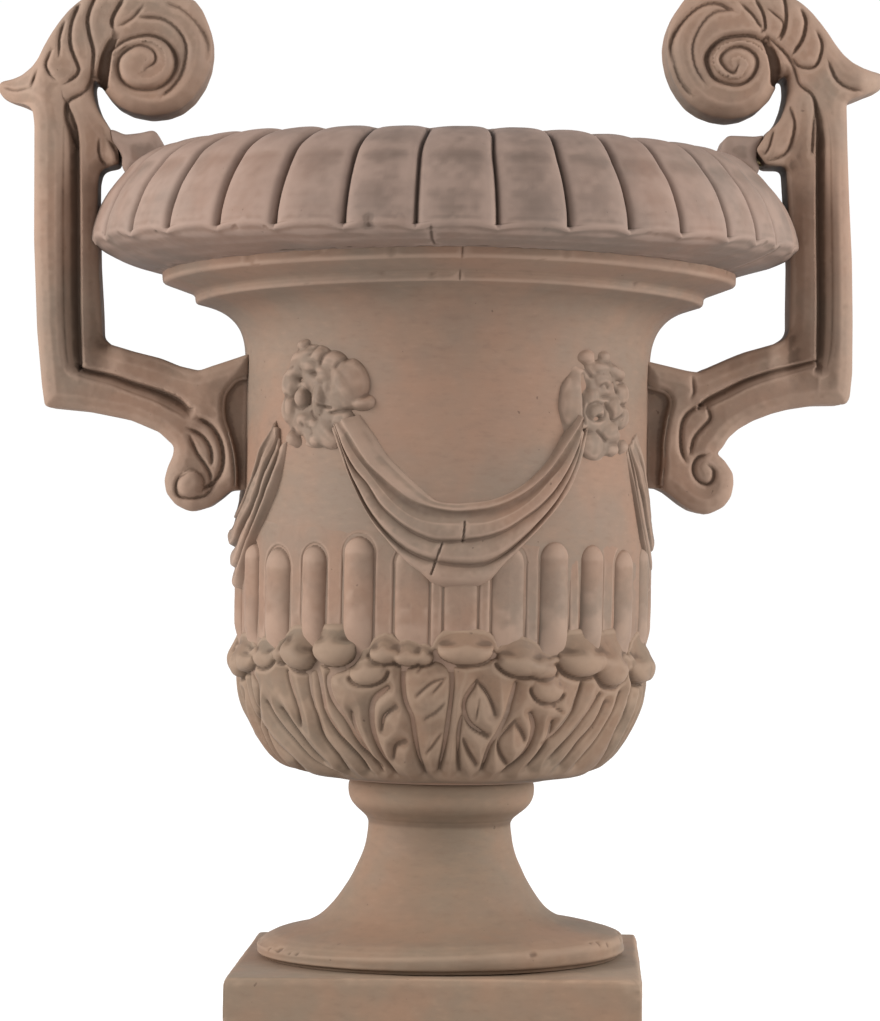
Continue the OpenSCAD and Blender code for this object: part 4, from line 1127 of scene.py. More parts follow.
FLOWER_RIGHT = {
    "at": (540, 330, 7.5), "middle": (600, 408),
    "petals": [(440, 580, 250, 410, 0, 4.6), (262, 535, 84, 208, 0, 9.5), (470, 285, 75, 42, 12, 9), (600, 320, 90, 48, 28, 9.5), (480, 370, 72, 72, 0, 11), (572, 590, 62, 95, 0, 12), (400, 870, 84, 112, 0, 10.5), (655, 480, 62, 95, 0, 8.5), (655, 650, 62, 95, 0, 8.5), (545, 770, 80, 72, -15, 9.5), (255, 850, 66, 82, 0, 8), (372, 205, 62, 60, 0, 9), (505, 200, 42, 46, 0, 7.5), (660, 880, 44, 56, 0, 8.5), (560, 900, 60, 50, 0, 8.5), (320, 700, 55, 60, 0, 8.5), (400, 500, 50, 70, 0, 9)],
    "hollows": [(330, 255, 24, 26, 0, 6), (440, 208, 22, 22, 0, 6), (525, 962, 24, 22, 0, 6), (592, 985, 22, 20, 0, 6), (360, 420, 24, 70, 0, 5), (335, 760, 60, 18, 0, 6), (500, 500, 50, 22, 0, 4.5), (620, 400, 40, 24, 20, 4.5)],
    "button": (430, 612, 62, 62, 0, 12.0),
    "pit": (442, 655, 26, 22, 0, 7.5),
    "strokes": [[(330, 255), (365, 300), (395, 350)], [(455, 420), (480, 405), (515, 430)], [(500, 550), (530, 620), (560, 680), (620, 640)], [(570, 400), (585, 430), (590, 470)], [(250, 310), (205, 380), (180, 450), (172, 590), (170, 720)], [(340, 940), (400, 985), (460, 1000)], [(440, 760), (470, 795), (500, 830)], [(345, 330), (335, 500), (345, 700)], [(600, 560), (650, 565), (705, 560)], [(610, 740), (640, 760), (690, 770)]],
}


def make_rosette(node_name, spec, turn, mirror_at, seed):
    """A flower on the wall. Its relief is read where each point would be in the
    picture; turn and mirror_at (an angle, or None) carry it to the other side."""
    ox, oy, k = spec["at"]
    mid = on_round([spec["middle"]], lambda z: wall_r(z) + 4)[0]
    nr, nt = 92, 250
    reach = 59.0
    rr = np.linspace(0, 1, nr)
    phi = np.linspace(0, 2 * math.pi, nt, endpoint=False)
    R, F = np.meshgrid(rr * reach, phi, indexing="ij")
    a_mm, z_mm = R * np.sin(F), R * np.cos(F)
    th0 = mid[0] + np.degrees(a_mm / 190.5)
    z = mid[1] + z_mm
    u, v = in_picture(th0.ravel(), 196.0, z.ravel())
    # mostly unrolled about the flower's middle, so that its far side isn't drawn out
    um, _ = in_picture(np.full(th0.size, mid[0]), 196.0, z.ravel())
    ua, _ = in_picture(mid[0] + np.array([-1.0, 1.0]), 196.0, np.full(2, mid[1]))
    u = 0.35 * u + 0.65 * (um + 0.5 * (ua[1] - ua[0]) * (th0.ravel() - mid[0]))
    X, Y = (u - ox) * k, (v - oy) * k

    def bump_of(b, power=2.0, fill=0.5):
        x, y, w, h, ang, ht = b
        a = math.radians(ang)
        dx, dy = X - x, Y - y
        p1 = (dx * math.cos(a) + dy * math.sin(a)) / w
        p2 = (-dx * math.sin(a) + dy * math.cos(a)) / h
        e = np.abs(p1) ** power + np.abs(p2) ** power
        return ht * np.clip(1 - e, 0, 1) ** fill, e

    H = np.zeros(len(X))
    rough = noise3(np.stack([X / 70, Y / 70, 0 * X], 1), 1.0, seed + 1)
    rough2 = noise3(np.stack([X / 28, Y / 28, 0 * X], 1), 1.0, seed + 2)
    for i, b in enumerate(spec["petals"]):
        hh, e = bump_of(b, 2.0, 0.78 if i else 0.4)
        if i:
            # a soft crease down each petal
            x, y, w, h, ang, ht = b
            a = math.radians(ang + (0 if h > w else 90))
            across = np.abs((X - x) * math.cos(a) + (Y - y) * math.sin(a)) / min(w, h)
            hh = hh - np.where(hh > 0, 0.9 * np.exp(-(across / 0.22) ** 2), 0)
        hh = hh * (1.0 if not i else 0.86)
        kk = 4.2 * smooth01(0.0, 4.0, hh)
        H = 0.5 * (H + hh + np.sqrt((H - hh) ** 2 + kk ** 2))
    for b in spec["hollows"]:
        x, y, w, h, ang, dep = b
        _, e = bump_of((x, y, w, h, ang, 1.0))
        H = H - 0.85 * dep * np.exp(-e ** 1.0) * smooth01(0, 2.0, H)
    bb, e = bump_of(spec["button"], 2.2, 0.45)
    H = H - 2.6 * np.exp(-((np.sqrt(e) - 1.14) / 0.16) ** 2)
    H = np.maximum(H, 0.84 * bb)
    if "pit" in spec:
        x, y, w, h, ang, dep = spec["pit"]
        _, e = bump_of((x, y, w, h, ang, 1.0))
        H = H - dep * np.exp(-e ** 1.4)
    q2 = np.stack([X, Y], 1)
    for pts in spec["strokes"]:
        ln = spline(pts, 12.0) if len(pts) > 2 else np.array([np.array(pts[0]) + (np.array(pts[1]) - np.array(pts[0])) * t for t in np.linspace(0, 1, 8)], float)
        dd, _, _ = near_line(q2, ln, 60.0)
        H = H - 4.0 * np.exp(-(dd / 10.0) ** 1.6) * smooth01(0, 2.0, H)
    H = H + (0.8 * rough + 0.25 * rough2) * smooth01(0.5, 4, H)
    H = np.maximum(H, -1.0).reshape(nr, nt)
    for _ in range(13):
        H[1:-1] = 0.6 * H[1:-1] + 0.1 * (H[:-2] + H[2:] + np.roll(H, 1, 1)[1:-1] + np.roll(H, -1, 1)[1:-1])
    H = np.where(H > 4.0, 4.0 + 0.80 * (H - 4.0), H)
    H = H - 2.4 * smooth01(1.2, -0.4, H)
    H = H * (1 - smooth01(0.94, 1.0, R / reach)) - 3.0 * smooth01(0.92, 1.0, R / reach)
    th = th0 if mirror_at is None else 2 * mirror_at - th0
    th = th + turn
    top = polar(th, wall_r(z) + H, z)
    base = polar(th, wall_r(z) - 4.0 + 0 * H, z)
    P, quads = slab_closed(top, base, True)
    # the middle point closes the first row
    c1 = len(P)
    P = np.vstack([P, top[0].mean(0)[None], base[0].mean(0)[None]])
    first = np.arange(nt)
    remap = np.arange(len(P))
    remap[first] = c1
    remap[first + nr * nt] = c1 + 1
    q = remap[quads]
    many = np.array([len(set(f)) for f in q.tolist()])
    tri = []
    for f in q[many == 3].tolist():
        g = []
        for w in f:
            if w not in g:
                g.append(w)
        tri.append(g)
    q = q[many == 4]
    used = np.unique(np.concatenate([q.ravel(), np.array(tri).ravel()]))
    back = np.full(len(P), -1)
    back[used] = np.arange(len(used))
    ob = build(node_name + "_flower", P[used], back[q], back[np.array(tri)])
    place(ob, "urn", "ornament", (node_name,))


# Lines along the front swag in the picture: upper outline, first pale ridge, crest of
# the big roll, the two creases and the lower edge
SWAG_LINES = [
    [(361, 420), (373, 436), (385, 454), (405, 474), (425, 492), (437, 501), (453, 503), (463, 503), (494, 499), (522, 486), (547, 464), (563, 439), (574, 418)],
    [(347, 426), (357, 444), (368, 462), (383, 477), (395, 487), (413, 500), (433, 507), (449, 510), (463, 510.5), (495, 506), (525, 492), (549, 470), (565, 445), (576, 424)],
    [(344, 430), (355, 452), (369, 472), (381, 488), (395, 504), (411, 516), (429, 522.4), (449, 524), (469, 524), (485, 523), (501, 518), (517, 510), (535, 496), (549, 480), (561, 466), (572, 445), (579, 425)],
    [(339, 432), (345, 450), (355, 470), (367, 484), (379, 504), (393, 518), (409, 530), (425, 538), (439, 542), (463, 541), (485, 538), (505, 531), (525, 518), (541, 506), (557, 488), (569, 466), (577, 446), (578.5, 434)],
    [(337, 434), (343, 450), (351, 476), (365, 506), (381, 528), (395, 542), (409, 552), (425, 559), (445, 564), (463, 566), (483, 565), (501, 557), (517, 545), (535, 528), (551, 510), (565, 488), (575, 466), (581, 444)],
    [(334, 440), (341, 460), (351, 484), (363, 508), (375, 528), (385, 540), (395, 552), (411, 568), (423, 576), (431, 584), (445, 588), (465, 588), (483, 586), (495, 578), (505, 566), (513, 558), (530, 541), (546, 524), (562, 505), (576, 484), (584, 460), (588, 436)],
]


def make_swag(node_name, turn, seed):
    nu = 250
    curves = []
    for pts in SWAG_LINES:
        tz = on_round(pts, lambda z: wall_r(z) + 6.0)
        ln = spline(tz * np.array([3.32, 1.0]), 1.5)
        s = np.concatenate([[0], np.cumsum(np.linalg.norm(np.diff(ln, axis=0), axis=1))])
        u = np.linspace(0, s[-1], nu)
        c = np.stack([np.interp(u, s, ln[:, 0]), np.interp(u, s, ln[:, 1])], 1)
        for _ in range(14):
            c[1:-1] = 0.5 * c[1:-1] + 0.25 * (c[:-2] + c[2:])
        # each end runs on a little, under the flower
        c[0] += (c[0] - c[3]) * 2.0
        c[-1] += (c[-1] - c[-4]) * 2.0
        curves.append(c / np.array([3.32, 1.0]))
    u = np.linspace(0, 1, nu)
    m = np.sin(np.pi * u) ** 0.8
    e = 1 - m
    r1 = 5.2 * m + 12.0 * e
    r2 = 8.2 * m + 10.5 * e
    c1 = 3.8 * m + 5.0 * e
    b1 = 7.4 * m + 8.0 * e
    c2 = 2.6 * m + 3.6 * e
    b2 = 6.6 * m + 6.0 * e
    rows, heights = [], []

    def band(k, n, shape, last=False):
        for i in range(n + (1 if last else 0)):
            t = i / n
            rows.append(curves[k] * (1 - t) + curves[k + 1] * t)
            heights.append(shape(t))

    band(0, 9, lambda t: -0.8 * (1 - t) + (r1 + 0.8) * (1 - (1 - t) ** 1.35))
    band(1, 17, lambda t: r1 * (1 - t) + r2 * t - (4.3 * m + 2.2 * e) * math.sin(math.pi * t ** 0.72))
    band(2, 19, lambda t: (r2 + 1.0 * math.sin(math.pi * min(1, t / 0.8))) * (1 - float(smooth01(0.76, 1.0, t))) + c1 * float(smooth01(0.76, 1.0, t)))
    band(3, 18, lambda t: c1 + (b1 - c1) * (1 - (1 - min(1, t / 0.62)) ** 2.2) - (b1 - c2) * float(smooth01(0.74, 1.0, t)))
    band(4, 19, lambda t: (c2 + (b2 - c2) * (1 - (1 - min(1, t / 0.5)) ** 2.0)) * (1 - max(0.0, (t - 0.5) / 0.5) ** 2.6) - 0.8 * t ** 6, last=True)
    TZ = np.array(rows)
    H = np.array(heights)
    th, z = TZ[:, :, 0] + turn, TZ[:, :, 1] - (11.0 if abs(turn) == 90 else 0.0) * m[None]
    wall = wall_r(z)
    pts = polar(th, wall + H, z).reshape(-1, 3)
    # the folds wander and swell along their length
    nrow = len(rows)
    uu, tt = np.meshgrid(u * 9.0, np.arange(nrow) / 16.0)
    flow = noise3(np.stack([uu.ravel(), tt.ravel(), 0 * uu.ravel()], 1), 1.0, seed).reshape(H.shape)
    n = wobble(pts, [(30, 0.6), (10, 0.28), (4, 0.10)], seed + 1).reshape(H.shape)
    live = smooth01(0.5, 3.5, H)
    H2 = (H + live * (n + 0.8 * flow)) * {-90.0: 1.35, 90.0: 0.8}.get(turn, 1.0)
    if turn == 0:
        for line in ([(465, 522), (464, 531), (463, 541)], [(442, 544), (437, 557), (431, 574)]):
            tz = on_round(line, lambda z: wall_r(z) + 8.0)
            q3 = np.stack([th.ravel() * 3.4, z.ravel()], 1)
            d, _, _ = near_line(q3, spline(tz * np.array([3.4, 1.0]), 2.0), 5.0)
            H2 = H2 - (3.2 * np.exp(-(d / 0.9) ** 2)).reshape(H.shape)
    j = np.arange(nu)
    if turn == -90.0:
        k0, k1 = 0, int(nu * 0.98)
    elif turn == 90.0:
        k0, k1 = int(nu * 0.02), nu
    else:
        k0, k1 = 0, nu
    ends = smooth01(k0 - 4, k0 + 24, j) * smooth01(k1 + 3, k1 - 25, j) if (k0, k1) != (0, nu) else np.ones(nu)
    H2 = H2 * (0.30 + 0.70 * ends)[None]
    top = polar(th, wall + H2, z)[:, k0:k1]
    base = polar(th, wall - 3.0, z)[:, k0:k1]
    P, quads = slab_closed(top, base, False)
    ob = build(node_name + "_cloth", P, quads, [])
    place(ob, "urn", "ornament", (node_name,))


# Reeds at the front in the picture: middle, half width (both at y = 620), top
REED_FRONT = [(275, 12, 547), (311.6, 12, 545), (356.5, 15.5, 536), (411, 18, 546), (460.7, 17.7, 562), (508.8, 17, 545), (555.5, 14.5, 541), (592.9, 11, 544), (624.5, 8.5, 549)]


def make_reeds():
    rng = np.random.default_rng(9)
    at, top, half, flat = [], [], [], []
    for x, w, y in REED_FRONT:
        a = on_round([(x - w, 620), (x + w, 620), (x, y)], lambda z: 194.0 + 0 * z)
        at.append(0.5 * (a[0, 0] + a[1, 0]))
        half.append(0.5 * (a[1, 0] - a[0, 0]) * math.radians(1) * 194.0)
        top.append(a[2, 1])
        flat.append(1.0 if 400 < x < 520 else 0.0)
    gap = (360 - (at[-1] - at[0])) / 16.0
    for k in range(1, 16):
        at.append(at[len(REED_FRONT) - 1] + gap * k + float(rng.uniform(-0.5, 0.5)))
        top.append(466 + float(rng.uniform(-4, 5)))
        half.append(float(rng.uniform(12.5, 15)))
        flat.append(0.0)
    at, top, half = np.array(at), np.array(top), np.array(half)
    n_col, n_row = 1380, 62
    th = np.linspace(-180, 180, n_col, endpoint=False)
    z = np.concatenate([np.linspace(350, 420, 14, endpoint=False), np.linspace(420, 488, 46)])
    TH, Z = np.meshgrid(th, z)
    # the belt between the reeds stands a little proud of the wall and fades at the top
    H = 1.5 * smooth01(486, 440, Z) - 0.9 * smooth01(470, 488, Z)
    for a, t, w, fl in zip(at, top, half, flat):
        da = (TH - a + 180) % 360 - 180
        x = da * math.radians(1) * 194.0
        zc = t - w
        d_out = np.where(Z > zc, np.hypot(x, Z - zc), np.abs(x)) - w
        sgn = np.clip(-d_out / w, 0, 1)
        if fl:
            dome = 3.6 * (1 - (1 - sgn) ** 5.0) ** 0.6 + 1.0 * sgn
            deep = 3.6
        else:
            dome = 10.6 * (1 - (1 - sgn) ** 2.0) ** 0.66
            deep = 3.4
        groove = -deep * np.exp(-(np.clip(d_out, 0, None) / 1.3) ** 1.5)
        H = np.where(d_out < 0, dome - 1.4, H + np.where(d_out < 7, groove, 0))
    pts = polar(TH, 190 + H, Z).reshape(-1, 3)
    n = wobble(pts, [(40, 0.5), (13, 0.3), (5, 0.10)], 61).reshape(H.shape)
    H = H + n * smooth01(488, 474, Z) - 0.5
    H = np.maximum(H, -2.2)
    # flatter towards the sides, and they run out under the leaves
    H = H * (1 - 0.30 * smooth01(50, 76, TH) * smooth01(110, 100, TH)) * (1 - 0.25 * smooth01(-50, -76, TH) * smooth01(-110, -100, TH))
    H = H * (0.12 + 0.88 * smooth01(360, 388, Z))
    wall = wall_r(Z)
    topg = polar(TH, wall + H, Z)
    rows = np.concatenate([topg, polar(TH[-1:], wall[-1:] - 5.0, Z[-1:]), polar(TH[:1], wall[:1] - 5.0, Z[:1])])
    P = rows.reshape(-1, 3)
    quads = facing_out(P, grid_quads(rows.shape[0], n_col, True, True))
    ob = build("reeds_belt", P, quads, [])
    place(ob, "urn", "ornament", ("reeds",))


# Leaf cup: strokes between the leaves and the curled tips, traced at the front in two
# parts with their own corner, six steps to a picture unit; the last number of each
# line is its depth in mm
CUP_LEFT = [
    ([(560, 400), (575, 460), (590, 560), (620, 700), (700, 830), (820, 960), (880, 1040)], 6.0),
    ([(800, 280), (740, 390), (650, 440), (625, 490), (650, 600), (740, 740), (830, 900), (960, 1020)], 6.4),
    ([(990, 530), (910, 600), (890, 680), (900, 800), (950, 940), (1040, 1060)], 8.0),
    ([(770, 680), (790, 780), (850, 900), (960, 1040)], 5.5),
    ([(1130, 370), (1090, 420), (1085, 520), (1100, 620), (1140, 720), (1160, 850), (1180, 960), (1220, 1060)], 6.5),
    ([(380, 430), (400, 520), (440, 650), (460, 760)], 5.5),
    ([(350, 660), (400, 740), (480, 850), (600, 980)], 5.5),
    ([(260, 620), (330, 740), (430, 860), (560, 990), (700, 1050)], 5.5),
    ([(160, 430), (200, 520), (205, 650), (210, 760)], 5.5),
    ([(510, 450), (520, 560), (560, 700), (600, 830), (700, 960), (760, 1040)], 4.5),
    ([(1040, 650), (970, 710), (955, 790)], 4.5),
    ([(1100, 860), (1040, 890), (1030, 960)], 4.0),
    ([(1180, 430), (1230, 370), (1290, 330)], 2.6),
    ([(1170, 580), (1260, 500), (1350, 470)], 2.6),
    ([(1220, 720), (1290, 670), (1350, 620)], 2.6),
    ([(1230, 930), (1290, 850), (1340, 800)], 2.6),
    ([(240, 760), (330, 880), (440, 980), (540, 1040)], 4.5),
    ([(120, 560), (140, 660), (180, 760)], 4.0),
]
CUP_RIGHT = [
    ([(40, 330), (120, 400), (140, 500), (120, 700), (90, 900), (60, 1040)], 6.5),
    ([(290, 490), (220, 600), (215, 680), (250, 760), (350, 830)], 6.0),
    ([(290, 490), (350, 560), (390, 650), (400, 700)], 4.5),
    ([(205, 690), (180, 800), (175, 960), (180, 1040)], 5.0),
    ([(205, 850), (240, 930), (280, 1000)], 4.5),
    ([(530, 500), (500, 620), (470, 720), (420, 820), (370, 900), (320, 1040)], 7.5),
    ([(520, 740), (430, 850), (430, 930), (470, 1010)], 4.5),
    ([(530, 760), (560, 800), (580, 850)], 4.0),
    ([(620, 690), (640, 780), (610, 890), (560, 960), (450, 1050)], 7.5),
    ([(750, 740), (730, 830), (680, 920), (600, 1010)], 5.5),
    ([(930, 500), (900, 590), (860, 700), (780, 800), (700, 870)], 6.0),
    ([(1040, 570), (960, 700), (860, 830), (740, 960)], 6.0),
    ([(1070, 620), (1000, 760), (900, 880), (800, 1000)], 5.0),
    ([(650, 570), (720, 620), (810, 680)], 3.0),
    ([(1160, 560), (1110, 700), (1020, 850), (900, 990)], 5.0),
    ([(1210, 600), (1180, 720), (1110, 850)], 4.0),
    ([(300, 600), (290, 690), (280, 740)], 2.4),
    ([(90, 480), (20, 560)], 2.4),
    ([(100, 620), (20, 700)], 2.4),
]
# curled tips: corner, x, y, half width, half height, turn, how far they stand out (mm)
CUP_KNOBS = [
    ("L", 84, 356, 58, 80, 0, 8.5), ("L", 215, 345, 58, 66, 0, 5), ("L", 325, 318, 36, 62, 0, 9), ("L", 430, 322, 94, 100, 18, 15.5), ("L", 655, 296, 128, 112, 0, 16.5), ("L", 862, 436, 112, 80, -10, 7.5),
    ("L", 968, 325, 92, 62, 0, 12), ("L", 1110, 345, 92, 56, 0, 12), ("L", 1210, 350, 60, 45, 0, 7), ("R", 222, 314, 172, 82, 0, 14), ("R", 570, 385, 142, 80, 8, 11),
    ("R", 738, 540, 92, 86, 10, 8), ("R", 948, 366, 134, 104, 0, 16), ("R", 1126, 400, 94, 124, 12, 13), ("R", 1314, 402, 64, 108, 0, 11), ("R", 700, 420, 90, 60, 0, 6),
]


def cup_points(corner, pts):
    ox = 222.0 if corner == "L" else 430.0
    return [(ox + x / 6.0, 600.0 + y / 6.0) for x, y in pts]


def make_cup():
    n_z = 112
    th = np.concatenate([np.linspace(-86, 86, 640, endpoint=False), np.linspace(86, 274, 220, endpoint=False)])
    n_col = len(th)
    skin = np.array([(100, 244.4), (113, 245.6), (126, 247.2), (137.5, 249.4), (148, 252.6), (156.5, 257.8), (165, 266.3), (172, 276.4), (178.4, 288), (184, 300), (189, 312), (192, 325), (193.6, 340), (194.2, 356), (194.2, 384), (194.2, 404)], float)
    fine = spline(skin, 1.0)
    for _ in range(6):
        fine[1:-1] = 0.5 * fine[1:-1] + 0.25 * (fine[:-2] + fine[2:])
    d = np.gradient(fine, axis=0)
    d /= np.linalg.norm(d, axis=1)[:, None]
    nn = np.stack([d[:, 1], -d[:, 0]], 1)
    s = np.concatenate([[0], np.cumsum(np.linalg.norm(np.diff(fine, axis=0), axis=1))])
    dens = 1.0 + 0.5 * smooth01(322, 334, fine[:, 1]) * smooth01(392, 380, fine[:, 1])
    cd = np.concatenate([[0], np.cumsum(0.5 * (dens[1:] + dens[:-1]) * np.diff(s))])
    u = np.interp(np.linspace(0, cd[-1], n_z), cd, s)
    L = np.stack([np.interp(u, s, fine[:, 0]), np.interp(u, s, fine[:, 1])], 1)
    N = np.stack([np.interp(u, s, nn[:, 0]), np.interp(u, s, nn[:, 1])], 1)
    N /= np.linalg.norm(N, axis=1)[:, None]
    TH = np.repeat(th[None], n_z, 0)
    R0 = np.repeat(L[:, 0][:, None], n_col, 1)
    Z0 = np.repeat(L[:, 1][:, None], n_col, 1)
    flat = polar(TH, R0, Z0).reshape(-1, 3)

    def skin_r(z):
        return np.interp(z, L[:, 1], L[:, 0])

    # the traced front covers about 150 degrees; the back repeats it, and the two
    # sides get plain leaves
    sets = []
    for turn in (0.0, 180.0):
        for corner, group in (("L", CUP_LEFT), ("R", CUP_RIGHT)):
            for pts, dep in group:
                tz = on_round(cup_points(corner, pts), skin_r)
                ln = (spline(tz * np.array([3.0, 1.0]), 3.0) if len(tz) > 2 else np.array([tz[0] + (tz[1] - tz[0]) * k for k in np.linspace(0, 1, 8)]) * np.array([3.0, 1.0])) / np.array([3.0, 1.0])
                sets.append((np.column_stack([ln[:, 0] + turn, ln[:, 1]]), dep))
    rng = np.random.default_rng(31)
    for side in (90.0, -90.0):
        for k in range(-3, 4):
            a = side + k * 6.5
            zt = 350 + rng.uniform(-6, 6)
            bend = rng.uniform(-2, 2) + k * 1.2
            zz = np.linspace(zt, 248, 12)
            aa = a + bend * np.sin(np.linspace(0, math.pi, 12))
            sets.append((np.column_stack([aa, zz]), 5.4))
    near = np.full(len(flat), 40.0)
    cuts = np.zeros(len(flat))
    side_of = np.zeros(len(flat))
    for tz, dep in sets:
        l3 = polar(tz[:, 0], skin_r(tz[:, 1]), tz[:, 1])
        l4 = np.hstack([l3, np.arange(len(l3))[:, None].astype(float)])
        dd, _, ex = near_line(flat, l4, 20.0)
        # each cut fades at its ends
        f = np.minimum(smooth01(-1.5, 3.0, ex[:, 0]), smooth01(-1.5, 3.0, len(l3) - 1 - ex[:, 0]))
        f = 0.35 + 0.65 * f
        hw = 1.0 + 0.14 * dep
        c = f * (0.64 * dep * np.exp(-(dd / hw) ** 1.7) + 0.36 * dep * np.exp(-dd / (2.0 * hw)))
        c = c * (1 - smooth01(14, 20, dd))
        cuts = np.maximum(cuts, c)
        if dep > 3:
            near = np.minimum(near, dd)
    swell = 1 - np.exp(-(near / 10.5) ** 1.7)
    H = -3.0 + 4.6 * swell - cuts
    zf, tf = Z0.ravel(), TH.ravel()
    p3 = np.stack([np.sin(np.radians(tf)) * 4, np.cos(np.radians(tf)) * 4, 0 * tf], 1)
    top_z = 360 + 4 * noise3(p3, 0.55, 19) + 3 * noise3(p3, 0.2, 23)
    over = smooth01(top_z, top_z + 8, zf)
    H = H * (1 - over) - 7.5 * over
    knobs = []
    for turn in (0.0, 180.0):
        for (corner, x, y, a, b, ang, ht) in CUP_KNOBS:
            c = cup_points(corner, [(x, y), (x - a, y), (x + a, y), (x, y - b), (x, y + b)])
            tz = on_round(c, lambda z: 0 * z + 200.0)
            wa = 0.5 * (tz[2, 0] - tz[1, 0]) * math.radians(1) * 200.0
            wz = 0.5 * (tz[3, 1] - tz[4, 1])
            knobs.append((tz[0, 0] + turn, tz[0, 1], min(wa, 34.0), wz, ang, ht))
    for side in (90.0, -90.0):
        for k in (-12.0, 0.0, 12.0):
            knobs.append((side + k, 350 + rng.uniform(-3, 3), rng.uniform(15, 19), rng.uniform(13, 16), 0.0, rng.uniform(9, 11)))
    K = np.full(len(H), -9.0)
    shade = np.zeros(len(H))
    for (a, zc, wa, wz, ang, ht) in knobs:
        da = (tf - a + 180) % 360 - 180
        x = da * math.radians(1) * 200.0
        dz = zf - zc
        w = np.where((np.abs(x) < 3 * wa + 20) & (np.abs(dz) < 4 * wz + 12))[0]
        if len(w) == 0:
            continue
        t = math.radians(-ang)
        x2 = (x * math.cos(t) + dz * math.sin(t))[w]
        z2 = (-x * math.sin(t) + dz * math.cos(t))[w]
        ex = np.abs(x2) / wa
        e = ex ** 2 + (z2 / (wz * 0.95)) ** 2
        low = np.clip(1 - e ** 1.25, 0, 1) ** 0.5
        b = smooth01(-0.05, 0.65, z2 / wz)
        across = np.clip(1 - ex ** 2.5, 0, 1) ** 0.5 * (1 - b) + np.exp(-(1.6 + 1.6 * b) * ex ** 2) * b
        high = across * np.exp(-(np.clip(z2, 0, None) / (0.98 * wz)) ** 2)
        k = -2.5 + (0.78 * ht + 2.5) * np.where(z2 < 0, low, high)
        k = k - 4.0 * smooth01(388, 400, zf[w])
        live = smooth01(-2.5, 1.5, k)
        kk = 3.4 * live
        K[w] = np.where(k > -2.4, 0.5 * (K[w] + k + np.sqrt((K[w] - k) ** 2 + kk ** 2)), K[w])
        under = np.exp(-((np.sqrt(e) - 1.10) / 0.13) ** 2) * smooth01(0.1, -0.35, z2 / wz)
        shade[w] = np.maximum(shade[w], under)
    lift = smooth01(-2.0, 1.0, K)
    Hk = np.where(K > -2.4, np.maximum(H, 0.5 * (H + K + np.sqrt((H - K) ** 2 + (2.0 * lift) ** 2))), H)
    Hk = Hk - 4.2 * shade * smooth01(1.5, -1.5, K)
    Hg = np.maximum(Hk, -8.0).reshape(n_z, n_col)
    for _ in range(2):
        Hg[1:-1] = 0.6 * Hg[1:-1] + 0.1 * (Hg[:-2] + Hg[2:] + np.roll(Hg, 1, 1)[1:-1] + np.roll(Hg, -1, 1)[1:-1])
    # a plain ring at the bottom, against the collar
    foot = (0.4 * smooth01(0.22, 0.10, u / s[-1]) + 0.6 * smooth01(0.07, 0.02, u / s[-1]))[:, None]
    Hg = Hg * (1 - foot) + 0.2 * foot
    n = wobble(flat, [(30, 0.7), (11, 0.35), (5, 0.12)], 47).reshape(n_z, n_col)
    Hg = Hg + n * smooth01(-7, -2, Hg) * (1 - 0.8 * foot)
    R = R0 + Hg * N[:, :1]
    Z = Z0 + Hg * N[:, 1:]
    outer = polar(TH, R, Z)
    i1 = polar(TH[-1:], np.full((1, n_col), 184.0), Z0[-1:])
    i2 = polar(TH[:1], np.full((1, n_col), 160.0), np.full((1, n_col), 284.0))
    i3 = polar(TH[:1], np.full((1, n_col), 101.0), np.full((1, n_col), 246.0))
    rows = np.concatenate([outer, i1, i2, i3])
    P = rows.reshape(-1, 3)
    P[:, 2] = np.maximum(P[:, 2], 242.6)
    quads = facing_out(P, grid_quads(rows.shape[0], n_col, True, True))
    P[:, 0] -= 0.7 * smooth01(400, 360, P[:, 2])
    ob = build("leaf_cup_leaves", P, quads, [])
    place(ob, "urn", "leaf", ("leaf_cup",))


make_plinth()
make_foot()
make_bowl()
make_rim()
make_lugs()
make_handle("left")
make_handle("right")
make_rosette("rosette_front_left", FLOWER_LEFT, 0.0, None, 301)
make_rosette("rosette_front_right", FLOWER_RIGHT, 0.0, None, 302)
make_rosette("rosette_back_left", FLOWER_LEFT, -90.0, None, 303)
make_rosette("rosette_back_right", FLOWER_RIGHT, 90.0, None, 304)
make_swag("swag_front", 0.0, 401)
make_swag("swag_right", 90.0, 402)
make_swag("swag_back", 180.0, 403)
make_swag("swag_left", -90.0, 404)
make_reeds()
make_cup()

# Dowels keep their CAD shape and get dull brass
m, nt = new_material("dowel_brass")
tc = node(nt, "ShaderNodeTexCoord")
bs = node(nt, "ShaderNodeBsdfPrincipled")
bs.inputs["Metallic"].default_value = 1.0
nz = noise_node(nt, tc.outputs["Object"], 300.0, 3.0, 0.6, 3.0)
nt.links.new(mix(nt, ramp(nt, nz, 0.35, 0.7), (0.42, 0.33, 0.18), (0.28, 0.22, 0.14)), bs.inputs["Base Color"])
nt.links.new(ramp(nt, nz, 0.3, 0.7, 0.35, 0.6), bs.inputs["Roughness"])
out = node(nt, "ShaderNodeOutputMaterial")
nt.links.new(bs.outputs["BSDF"], out.inputs["Surface"])
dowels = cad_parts["handle_dowels"]
dowels.data.materials.clear()
dowels.data.materials.append(m)

